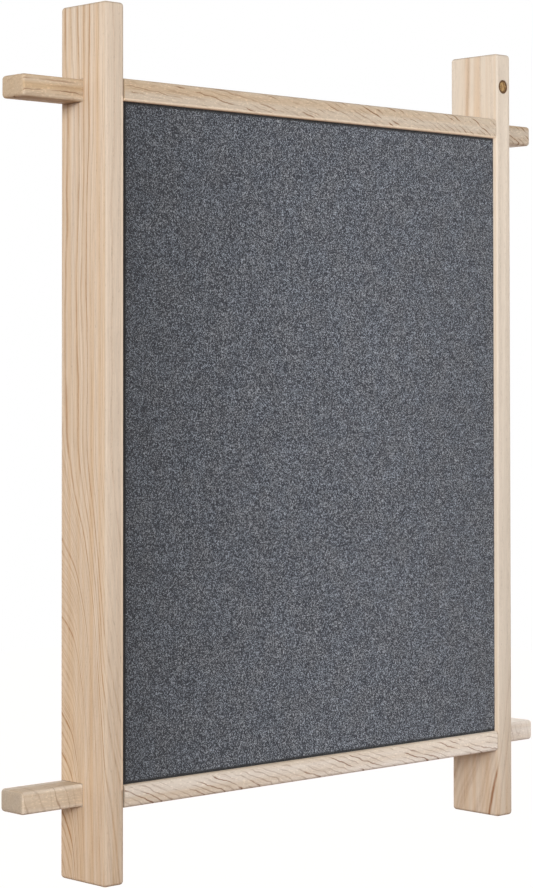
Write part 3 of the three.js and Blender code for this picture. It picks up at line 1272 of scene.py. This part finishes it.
@dataclass
class ScrewSet:
    """All screws of one kind, each where its CAD node is; sizes are in metres or shares of a radius."""

    name: str
    aims: dict[str, Aim]
    shank_radius: float
    thread_pitch: float
    rings: int
    seed: int
    rim: float = 0.0003
    tip_share: float = 3.0
    thread_share: float = 0.24
    recess_span_share: float = 0.58
    recess_slot_share: float = 0.15
    recess_depth_share: float = 0.5

    def places(self) -> tuple[list[Spot], float, float]:
        """Works out where the screws stand.

        Returns:
            Each screw's head, aim and side direction, and the length and head radius of them all.
        """
        places = []
        length = radius = 0.0
        for node, aim in self.aims.items():
            low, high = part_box(node)
            direction = Vector(aim.value)
            half = (high - low) / 2
            reach = abs(half.dot(direction))
            length = 2 * reach
            radius = max(side for side in half if abs(side - reach) > MERGE_DISTANCE)
            side = Vector((1, 0, 0)) if aim in (Aim.UP, Aim.DOWN) else Vector((0, 0, 1))
            places.append(((low + high) / 2 - direction * reach, direction, side))
        return places, length, radius

    def build(self, material: bpy.types.Material) -> None:
        """Makes all the screws of this kind as one piece.

        Args:
            material: their material.
        """
        places, length, head_radius = self.places()
        piece = aimed_points(self.name, places)
        run_tree(piece, ScrewTree.tree(), {
            "Length": length, "Shank Radius": self.shank_radius, "Head Radius": head_radius,
            "Rim": self.rim, "Tip": self.shank_radius * self.tip_share, "Thread Pitch": self.thread_pitch,
            "Thread Depth": self.shank_radius * self.thread_share,
            "Recess Span": head_radius * self.recess_span_share,
            "Recess Slot": head_radius * self.recess_slot_share,
            "Recess Depth": head_radius * self.recess_depth_share,
            "Rings": self.rings, "Seed": self.seed, "Material": material,
        })
        dress(piece, "screw_steel", self.aims)


class StapleTree:
    """The geometry tree that makes wire staples, each driven in along its point's aim."""

    name = "staples"
    inputs = {
        "Crown": "Float", "Leg": "Float", "Wire Width": "Float", "Wire Thickness": "Float",
        "Corner": "Float", "Seed": "Int", "Material": "Material",
    }
    skew = math.radians(7)

    @classmethod
    def tree(cls) -> bpy.types.NodeTree:
        """Builds the tree: a bent line of four points, swept by the flat wire's section.

        Returns:
            The tree.
        """
        graph, given = new_geometry_tree(cls.name, cls.inputs)
        width, thickness = given["Wire Width"], given["Wire Thickness"]
        bones = graph.get("GeometryNodeMeshLine", {"Count": 4})
        index = graph.get("GeometryNodeInputIndex") - 1.5
        outer = abs(index) - 0.5
        bend = graph.join(
            graph.math("SIGN", index) * given["Crown"] * 0.5, 0.0, thickness * -0.5 + outer * given["Leg"]
        )
        bent = graph.get("GeometryNodeSetPosition", {0: bones, "Position": bend})
        path = graph.get("GeometryNodeMeshToCurve", {0: bent})
        corner = {0: path, "Radius": given["Corner"], "Limit Radius": True}
        rounded = graph.get("GeometryNodeFilletCurve", corner)
        level = graph.get("GeometryNodeSetCurveNormal", {0: rounded, "Normal": (0.0, 1.0, 0.0)}, mode="FREE")
        section = graph.get("GeometryNodeCurvePrimitiveQuadrilateral", {"Width": width, "Height": thickness})
        swept = {"Curve": level, "Profile Curve": section, "Fill Caps": True}
        wire = graph.get("GeometryNodeCurveToMesh", swept)
        finish_instances(graph, given, wire, aimed_rotation(graph, given, cls.skew))
        return graph.tree


@dataclass
class OakFrame:
    """Two posts and two rails of oak, with the wooden plug in the right post."""

    softened: float = 0.0003
    plug_radius: float = 0.0067
    plug_hole_radius: float = 0.007
    plug_dome: float = 0.00015
    plug_dome_steps: tuple[float, ...] = (0.0, 0.35, 0.65, 0.85)
    plug_chamfer: float = 0.0004
    plug_edge_shares: tuple[tuple[float, float], ...] = ((0.3, 0.55), (0.0, 1.3))
    plug_sides: int = 48
    glue_depth: float = 0.0006
    glue_bead_shares: tuple[float, float] = (0.4, 0.35)

    def finishes(self) -> dict[str, tuple[TimberFinish, GrainRun, str]]:
        """Gives each bar's finish.

        Returns:
            The finish, grain direction and slot name of each bar, by its CAD node.
        """
        left_post = TimberFinish(
            pale=(215, 200, 182), line=(168, 130, 92), warm=(205, 181, 153),
            ring_width=0.0046, line_share=0.55, line_strength=0.8, line_floor=0.3, breaks=0.4,
            break_level=-0.18, break_width=0.003, break_length=0.05, fine=0.5, pith_across=-0.335,
            pith_deep=0.03, lean_start=0.3, lean_end=0.74, lean_drop=-0.16, lean_ink=0.95, lean_front=0.3,
            front_ink=0.35, front_pale=1.0, waver=0.005, bands=0.03, band_size=0.006, fibres=0.2, drift=0.08,
            warm_drift=-0.4, arris_light=-0.12, lip_light=0.4, lip_reach=0.0048, seed=1.0,
        )
        right_post = TimberFinish(
            pale=(220, 209, 194), line=(154, 112, 80), warm=(209, 187, 162),
            ring_width=0.0078, line_share=0.42, line_strength=0.32, line_floor=0.22, break_width=0.002,
            break_length=0.08, fine=0.24, pith_across=0.12, pith_deep=0.03, lean_start=0.5, lean_end=0.74,
            lean_drop=0.03, lean_ink=3.0, front_ink=0.3, front_pale=1.0, waver=0.0045, bands=0.025,
            fibres=0.14, drift=0.14, warm_drift=-0.5, arris_light=-0.1, lip_light=0.1, seed=2.0,
        )
        top_rail = TimberFinish(
            pale=(213, 201, 184), line=(136, 98, 65), warm=(198, 173, 141),
            ring_width=0.0042, line_share=0.44, line_strength=1.1, line_floor=0.32, breaks=0.92,
            break_level=-0.2, break_width=0.008, break_length=0.024, pith_across=-0.16, pith_deep=0.05,
            slope=-0.26, bend=-0.42, lean_start=0.252, lean_end=0.275, front_pale=0.4, waver=0.004,
            ripple=0.0016, bands=0.02, fibres=0.17, flecks=0.2, warm_drift=-0.9, lip_light=0.6, seed=3.0,
        )
        bottom_rail = TimberFinish(
            pale=(233, 226, 217), line=(128, 88, 60), warm=(209, 191, 168),
            ring_width=0.0052, line_share=0.38, line_strength=0.95, line_floor=0.4, breaks=0.9,
            break_width=0.014, break_length=0.034, fine=0.2, pith_across=-0.16, pith_deep=0.05,
            slope=-0.36, bend=0.2, lean_start=0.252, lean_end=0.275, lean_turn=0.85, lean_ink=-0.45,
            front_pale=0.3, middle_reach=0.784, waver=0.009, ripple=0.002, bands=0.03, fibres=0.15,
            flecks=0.16, drift=0.18, warm_drift=-1.4, end_shade=0.29, lip_light=-0.06, seed=4.0,
        )
        return {
            "left_post": (left_post, GrainRun.UPRIGHT, "post_oak"),
            "right_post": (right_post, GrainRun.UPRIGHT, "post_oak"),
            "top_rail": (top_rail, GrainRun.LEVEL, "rail_oak"),
            "bottom_rail": (bottom_rail, GrainRun.LEVEL, "rail_oak"),
        }

    def build(self) -> None:
        """Builds the four bars, the plug and the line of glue round it."""
        for node, (finish, run, slot) in self.finishes().items():
            material = finish.material(node + "_wood", run)
            dress(refined_copy(node, node + "_timber", self.softened, material), slot, [node])
        self.build_plug()

    def build_plug(self) -> None:
        """Builds the plug and the thin ring of glue that fills the gap round it."""
        low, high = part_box("plug")
        centre = Vector(((low.x + high.x) / 2, low.y, (low.z + high.z) / 2))
        material = PlugFinish().material("plug_wood", centre, self.plug_hole_radius)
        radius, chamfer = self.plug_radius, self.plug_chamfer
        domed = [
            (radius * share, centre.y + self.plug_dome * share * share) for share in self.plug_dome_steps
        ]
        edge = [(radius - chamfer, centre.y + self.plug_dome)]
        edge += [
            (radius - chamfer * inward, centre.y + chamfer * deep) for inward, deep in self.plug_edge_shares
        ]
        plug = [*domed, *edge, (radius, high.y), (0.0, high.y)]

        start = centre.y + chamfer
        inner, outer, end = radius - self.softened, self.plug_hole_radius, start + self.glue_depth
        outward, proud = self.glue_bead_shares
        bead = (radius + self.softened * outward, start - chamfer * proud)
        glue = [(inner, start), bead, (outer, start), (outer, end), (inner, end), (inner, start)]
        for name, profile, nodes in (("turned_plug", plug, ["plug"]), ("plug_glue_line", glue, [])):
            mesh = turned_mesh(name, profile, centre, self.plug_sides)
            mesh.materials.append(material)
            dress(new_piece(name, mesh), "plug_oak", nodes)


class EdgePoint(NamedTuple):
    """A point of the cloth at the edge of its front or past it.

    X and Z are measured from the panel's middle, and the way runs along the cloth from that edge.
    """

    vert: bmesh.types.BMVert
    x: float
    z: float
    way: float


@dataclass
class ClothPanel:
    """The pinning panel: cloth stretched over a softboard, a thin board behind it and the staples."""

    thickness: float = 0.0012
    edge_radius: float = 0.0024
    hem: float = 0.025
    covered_hem: float = 0.0145
    columns: int = 40
    rows: int = 48
    arc_steps: int = 3
    hem_steps: int = 6
    dent: float = 0.00015
    pucker: float = 0.00045
    pucker_pace: float = 3.0
    pucker_turn: float = 3.0
    ragged: float = 0.0009
    staple_inset: float = 0.0185
    staple_spacing: float = 0.05
    staple_clear: float = 0.035
    staple_stray: float = 0.001
    stray_along_share: float = 3.0
    staple_lift_share: float = 0.6
    staple_crown: float = 0.01
    staple_leg: float = 0.006
    wire_width: float = 0.0012
    wire_thickness: float = 0.0006
    seed: int = 7
    uv_name = "flat"

    def __post_init__(self) -> None:
        """Takes the panel's box from the frame."""
        self.low, self.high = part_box("fabric_cover")
        self.middle = (self.low + self.high) / 2
        self.half = (self.high - self.low) / 2
        self.reach = Vector((self.half.x - self.edge_radius, self.half.z - self.edge_radius))
        self.chance = random.Random(self.seed)

    def stops(self, half: float, count: int) -> list[float]:
        """Places even steps along one side, with one more near each corner.

        Args:
            half: half the side's length.
            count: the number of even steps.

        Returns:
            The stops from one corner to the other.
        """
        even = [half * (2 * step / count - 1) for step in range(count + 1)]
        near = half - self.edge_radius
        return sorted([*even, -near, near])

    def profile(self) -> list[tuple[float, float, float]]:
        """Follows the cloth from the front's edge round to the end of its hem.

        Returns:
            Each step as (outwards from the flat front's edge, y, way along the cloth).
        """
        radius = self.edge_radius
        front, back = self.low.y, self.high.y
        angles = [math.pi / 2 * step / self.arc_steps for step in range(self.arc_steps + 1)]
        steps = [
            (radius * math.sin(angle), front + radius * (1 - math.cos(angle)), radius * angle)
            for angle in angles[1:]
        ]
        side = back - front - 2 * radius
        way = radius * math.pi / 2
        steps.append((radius, front + radius + side / 2, way + side / 2))
        way += side
        steps += [
            (radius * math.cos(angle), back - radius * (1 - math.sin(angle)), way + radius * angle)
            for angle in angles
        ]
        way += radius * math.pi / 2
        flat = self.hem - radius
        shares = [step / self.hem_steps for step in range(1, self.hem_steps + 1)]
        return steps + [(-flat * share, back, way + flat * share) for share in shares]

    def uneven(self, u: float, v: float) -> float:
        """Returns a slow wave from 0 to 1 over the panel, for the cloth's slight unevenness."""
        wave = math.sin(u * 23 + 1.3) * math.sin(v * 19 + 0.4) + 0.6 * math.sin(u * 51 - v * 37)
        return 0.5 + wave / 3.2

    def wrap(
        self, work: bmesh.types.BMesh, edge: dict[tuple[int, int], tuple[float, float]]
    ) -> list[dict[tuple[int, int], EdgePoint]]:
        """Carries the front's edge round the panel and on to the end of the hem.

        Args:
            work: the mesh under construction.
            edge: X and Z of each point of the front's edge, by its place in the front's grid.

        Returns:
            The edge's points at each step of the profile, by their place in the front's grid.
        """
        wander = {pair: self.chance.uniform(-1, 1) for pair in edge}
        steps = self.profile()
        rings = []
        for number, (out, y, way) in enumerate(steps):
            ring = {}
            for pair, (edge_x, edge_z) in edge.items():
                end = self.ragged * wander[pair] if number == len(steps) - 1 else 0.0
                scale = Vector((
                    (self.reach.x + out + end) / self.reach.x, (self.reach.y + out + end) / self.reach.y
                ))
                x, z = edge_x * scale.x, edge_z * scale.y
                lift = 0.0
                if -out > self.covered_hem - self.edge_radius:
                    swell = 0.5 + 0.5 * math.sin(wander[pair] * self.pucker_turn + number)
                    lift = self.pucker * swell * self.uneven(x * self.pucker_pace, z * self.pucker_pace)
                vert = work.verts.new((self.middle.x + x, y + lift, self.middle.z + z))
                ring[pair] = EdgePoint(vert, x, z, way)
            rings.append(ring)
        return rings

    def sheet_mesh(self) -> bpy.types.Mesh:
        """Builds the cloth as one open sheet with its flat size as its UV map.

        Returns:
            The sheet's mesh.
        """
        work = bmesh.new()
        flat = work.loops.layers.uv.new(self.uv_name)
        xs, zs = self.stops(self.reach.x, self.columns), self.stops(self.reach.y, self.rows)
        dents = [[self.low.y + self.dent * self.uneven(x, z) for z in zs] for x in xs]
        grid = [
            [work.verts.new((self.middle.x + x, y, self.middle.z + z)) for y, z in zip(column, zs)]
            for x, column in zip(xs, dents)
        ]

        def add_face(corners: list[bmesh.types.BMVert], marks: list[tuple[float, float]]) -> None:
            """Adds one face with its places on the flat cloth.

            Args:
                corners: its corners in order.
                marks: each corner's place on the flat cloth.
            """
            face = work.faces.new(corners)
            for loop, mark in zip(face.loops, marks):
                loop[flat].uv = mark

        for i in range(len(xs) - 1):
            for j in range(len(zs) - 1):
                around = [(i, j), (i + 1, j), (i + 1, j + 1), (i, j + 1)]
                add_face([grid[a][b] for a, b in around], [(xs[a], zs[b]) for a, b in around])

        last_i, last_j = len(xs) - 1, len(zs) - 1
        sides = {
            (0, -1): [(i, 0) for i in range(last_i + 1)],
            (1, 0): [(last_i, j) for j in range(last_j + 1)],
            (0, 1): [(i, last_j) for i in range(last_i, -1, -1)],
            (-1, 0): [(0, j) for j in range(last_j, -1, -1)],
        }
        edge = {(i, j): (xs[i], zs[j]) for side in sides.values() for i, j in side[:-1]}
        first_ring = {(i, j): EdgePoint(grid[i][j], x, z, 0.0) for (i, j), (x, z) in edge.items()}
        rings = [first_ring, *self.wrap(work, edge)]
        for (out_x, out_z), side in sides.items():
            for near, far in zip(rings, rings[1:]):
                for first, second in zip(side, side[1:]):
                    corners = [near[first], far[first], far[second], near[second]]
                    marks = [
                        (
                            out_x * (self.reach.x + point.way) if out_x else point.x,
                            out_z * (self.reach.y + point.way) if out_z else point.z,
                        )
                        for point in corners
                    ]
                    add_face([point.vert for point in corners], marks)
        mesh = bpy.data.meshes.new("stretched_cloth")
        work.to_mesh(mesh)
        work.free()
        mesh.shade_smooth()
        return mesh

    def build_cloth(self) -> None:
        mesh = self.sheet_mesh()
        mesh.materials.append(ClothFinish().material("wool_cloth"))
        piece = new_piece("stretched_cloth", mesh)
        wall = piece.modifiers.new("thickness", "SOLIDIFY")
        wall.thickness = self.thickness
        wall.offset = -1
        smooth = piece.modifiers.new("smooth", "SUBSURF")
        smooth.levels = smooth.render_levels = 1
        dress(piece, "cloth", ["fabric_cover"])

    def staple_places(self) -> list[Spot]:
        """Lays the staples out in a row along each side of the hem.

        Returns:
            Each staple's place, aim and side direction.
        """
        places = []
        aim = Vector((0, -1, 0))
        half_x, half_z = self.half.x - self.staple_inset, self.half.z - self.staple_inset
        for along, out, reach, inset in (
            (Vector((1, 0, 0)), Vector((0, 0, 1)), half_x, half_z),
            (Vector((0, 0, 1)), Vector((1, 0, 0)), half_z, half_x),
        ):
            span = 2 * (reach - self.staple_clear)
            count = round(span / self.staple_spacing)
            for sign in (-1, 1):
                for step in range(count + 1):
                    stray = self.chance.uniform(-1, 1) * self.staple_stray * self.stray_along_share
                    offset = span * (step / count - 0.5) + stray
                    depth = inset + self.chance.uniform(-1, 1) * self.staple_stray
                    spot = self.middle + along * offset + out * (sign * depth)
                    spot.y = self.high.y + self.pucker * self.staple_lift_share
                    places.append((spot, aim, along))
        return places

    def build_staples(self, steel: bpy.types.Material) -> None:
        """Makes the staples that hold the hem, as one piece.

        Args:
            steel: their material.
        """
        piece = aimed_points("hem_staples", self.staple_places())
        run_tree(piece, StapleTree.tree(), {
            "Crown": self.staple_crown, "Leg": self.staple_leg, "Wire Width": self.wire_width,
            "Wire Thickness": self.wire_thickness, "Corner": self.wire_thickness, "Seed": self.seed,
            "Material": steel,
        })
        dress(piece, "screw_steel")

    def build(self, steel: bpy.types.Material) -> None:
        """Builds the panel.

        Args:
            steel: the staples' material.
        """
        self.build_cloth()
        self.build_staples(steel)
        boards = {
            "softboard_core": MottledFinish((196, 168, 126), clouds=0.08, grit=0.16, roughness=0.95),
            "backing_board": MottledFinish((128, 94, 66), clouds=0.16, grit=0.12, roughness=0.5),
        }
        for node, finish in boards.items():
            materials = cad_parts[node].data.materials
            materials.clear()
            materials.append(finish.material(node + "_fibre"))


@dataclass
class Battens:
    """The four strips of softwood that hold the panel in its rebate."""

    softened: float = 0.0002
    roughness: float = 0.75
    first_seed: float = 10.0

    def build(self) -> None:
        """Builds the strips."""
        for number, side in enumerate(("top", "bottom", "left", "right")):
            node = side + "_batten"
            run = GrainRun.LEVEL if side in ("top", "bottom") else GrainRun.UPRIGHT
            pine = TimberFinish(
                pale=(224, 204, 170), line=(192, 146, 94), warm=(214, 188, 148), ring_width=0.0034,
                line_share=0.5, line_strength=0.7, pith_across=0.03, pith_deep=0.05, flecks=0.0, pores=0.05,
                seed=self.first_seed + number,
            )
            material = pine.material(node + "_pine", run, self.roughness)
            dress(refined_copy(node, node + "_strip", self.softened, material), "batten_pine", [node])


@dataclass
class Hardware:
    """The keyhole plates and all screws."""

    softened: float = 0.0002
    sides: tuple[str, str] = ("left", "right")
    ends: dict[str, Aim] = field(default_factory=lambda: {"top": Aim.UP, "bottom": Aim.DOWN})
    batten_screw_count: int = 3

    def screws(self) -> list[ScrewSet]:
        """Gives each kind of screw its nodes and sizes.

        Returns:
            The three kinds.
        """
        joint = {f"joint_screw_{end}_{side}": Aim.FRONT for end in self.ends for side in self.sides}
        hanger = {
            f"hanger_screw_{side}_{end}": Aim.FRONT for side in self.sides for end in ("upper", "lower")
        }
        batten = {
            f"batten_screw_{side}_{number + 1}": aim
            for side, aim in {"left": Aim.LEFT, "right": Aim.RIGHT, **self.ends}.items()
            for number in range(self.batten_screw_count)
        }
        return [
            ScrewSet("joint_screws", joint, shank_radius=0.002, thread_pitch=0.0018, rings=100, seed=11),
            ScrewSet("batten_screws", batten, shank_radius=0.00175, thread_pitch=0.0015, rings=64, seed=12),
            ScrewSet("hanger_screws", hanger, shank_radius=0.0015, thread_pitch=0.0013, rings=48, seed=13),
        ]

    def build(self, steel: bpy.types.Material) -> None:
        """Builds the plates and the screws.

        Args:
            steel: the material of them all.
        """
        for side in self.sides:
            node = side + "_hanger"
            dress(refined_copy(node, node + "_plate", self.softened, steel), "screw_steel", [node])
        for kind in self.screws():
            kind.build(steel)


@dataclass(frozen=True)
class Lamp:
    """A soft rectangular lamp that looks at the board; angles are in degrees, sizes in metres."""

    name: str
    azimuth: float
    height: float
    distance: float
    width: float
    depth: float
    power: float

    def hang(self, target: Vector) -> None:
        """Hangs the lamp.

        Args:
            target: the point that it looks at.
        """
        turn, lift = math.radians(self.azimuth), math.radians(self.height)
        direction = Vector((
            math.sin(turn) * math.cos(lift), -math.cos(turn) * math.cos(lift), math.sin(lift)
        ))
        data = bpy.data.lights.new(self.name, "AREA")
        data.shape = "RECTANGLE"
        data.size, data.size_y = self.width, self.depth
        data.energy = self.power
        lamp = bpy.data.objects.new(self.name, data)
        lamp.location = target + direction * self.distance
        lamp.rotation_euler = direction.to_track_quat("Z", "Y").to_euler()
        bpy.context.scene.collection.objects.link(lamp)


@dataclass(frozen=True)
class Studio:
    """A pale floor, plain soft light and the camera at the photograph's angle.

    The light of the band and of the room is linear red, green and blue. The floor's own colour tints only
    the light that it throws back at the board.
    """

    floor_z: float = -1.75
    floor_half: float = 9.0
    floor_colour: Colour = (116, 81, 56)
    floor_roughness: float = 0.9
    floor_white: float = 0.985
    lamps: tuple[Lamp, ...] = (
        Lamp("key", azimuth=-54.0, height=12.0, distance=6.0, width=6.0, depth=1.2, power=302.0),
        Lamp("front", azimuth=30.0, height=9.0, distance=1.8, width=0.8, depth=0.8, power=8.6),
        Lamp("side", azimuth=112.0, height=8.0, distance=3.0, width=2.0, depth=1.6, power=60.0),
        Lamp("back", azimuth=175.0, height=6.0, distance=3.4, width=5.0, depth=3.2, power=125.0),
    )
    band_azimuth: float = -54.0
    band_reach: tuple[float, float] = (0.0, 0.9)
    band_middle: float = 0.2
    band_height: tuple[float, float] = (0.05, 0.32)
    band_light: Colour = (1.85, 1.85, 1.85)
    room_height: tuple[float, float] = (-0.4, 0.4)
    high_room: Colour = (0.14, 0.1, 0.07)
    low_room: Colour = (0.1, 0.056, 0.031)
    camera_place: tuple[float, float, float] = (-1.66017, -1.67950, -0.25726)
    camera_turn: float = 0.7294
    camera_pitch: float = 0.0216
    lens: float = 99.17
    sensor: float = 36.0
    shift_x: float = 0.12473
    shift_y: float = -0.12953

    def build_camera(self) -> None:
        """Places the camera that was fitted to the photograph's edges."""
        data = bpy.data.cameras.new("camera")
        data.lens = self.lens
        data.sensor_width = self.sensor
        data.shift_x, data.shift_y = self.shift_x, self.shift_y
        data.clip_start = 0.01
        camera = bpy.data.objects.new("camera", data)
        camera.location = self.camera_place
        camera.rotation_euler = Euler((math.pi / 2 + self.camera_pitch, 0.0, -self.camera_turn))
        bpy.context.scene.collection.objects.link(camera)
        bpy.context.scene.camera = camera

    def white_rays(self, graph: Graph) -> Wire:
        """Picks the rays that see the background itself, straight or by a gloss or through glass.

        Args:
            graph: the tree of the world or of the floor's material.

        Returns:
            1 for these rays, else 0.
        """
        rays = graph.add("ShaderNodeLightPath")
        kinds = ("Is Camera Ray", "Is Glossy Ray", "Is Transmission Ray")
        return graph.highest(*(graph.out(rays, kind) for kind in kinds))

    def build_world(self) -> None:
        """Makes the light from all round: a pale band to the front left, a dim warm room elsewhere."""
        world = bpy.data.worlds.new("studio")
        bpy.context.scene.world = world
        world.use_nodes = True
        graph = Graph(world.node_tree)
        x, y, z = graph.split(graph.get("ShaderNodeTexCoord", key="Generated"))
        turn = math.radians(self.band_azimuth)
        facing = x * math.sin(turn) - y * math.cos(turn)
        level = 1.0 - graph.ramp(abs(z - self.band_middle), *self.band_height)
        band = graph.ramp(facing, *self.band_reach) * level
        high, low, pale = ((*light, 1.0) for light in (self.high_room, self.low_room, self.band_light))
        room = graph.blend(graph.ramp(z, *self.room_height), low, high)
        tint = graph.blend(band, room, pale)
        colour = graph.blend(self.white_rays(graph), tint, WHITE)
        graph.feed(world.node_tree.nodes["Background"], {"Color": colour})

    def build_floor(self) -> None:
        """Lays the floor, which looks white, straight or in a gloss."""
        half = self.floor_half
        corners = [(-half, -half), (half, -half), (half, half), (-half, half)]
        mesh = bpy.data.meshes.new("floor")
        mesh.from_pydata([(x, y, self.floor_z) for x, y in corners], [], [(0, 1, 2, 3)])
        material, graph, shader = new_material("floor_paper")
        graph.feed(shader, {
            "Base Color": srgb(self.floor_colour),
            "Roughness": self.floor_roughness,
            "Specular IOR Level": 0.0,
            "Emission Color": WHITE,
            "Emission Strength": self.white_rays(graph) * self.floor_white,
        })
        mesh.materials.append(material)
        new_piece("floor", mesh)

    def build(self) -> None:
        """Builds the whole setting."""
        self.build_camera()
        for lamp in self.lamps:
            lamp.hang((CAD_BOX[0] + CAD_BOX[1]) / 2)
        self.build_world()
        self.build_floor()
        bpy.context.scene.view_settings.view_transform = "Standard"


def main() -> None:
    """Builds the setting and the board, and reports each piece."""
    logging.basicConfig(level=logging.INFO, format="%(name)s: %(message)s")
    Studio().build()
    zinc = MottledFinish(
        (132, 134, 134), clouds=0.12, grit=0.05, roughness=0.42, streaks=0.06, metallic=1.0,
        bump_depth=0.0001, bump_strength=0.4,
    )
    steel = zinc.material("zinc_plate")
    OakFrame().build()
    ClothPanel().build(steel)
    Battens().build()
    Hardware().build(steel)


if __name__ == "__main__":
    main()
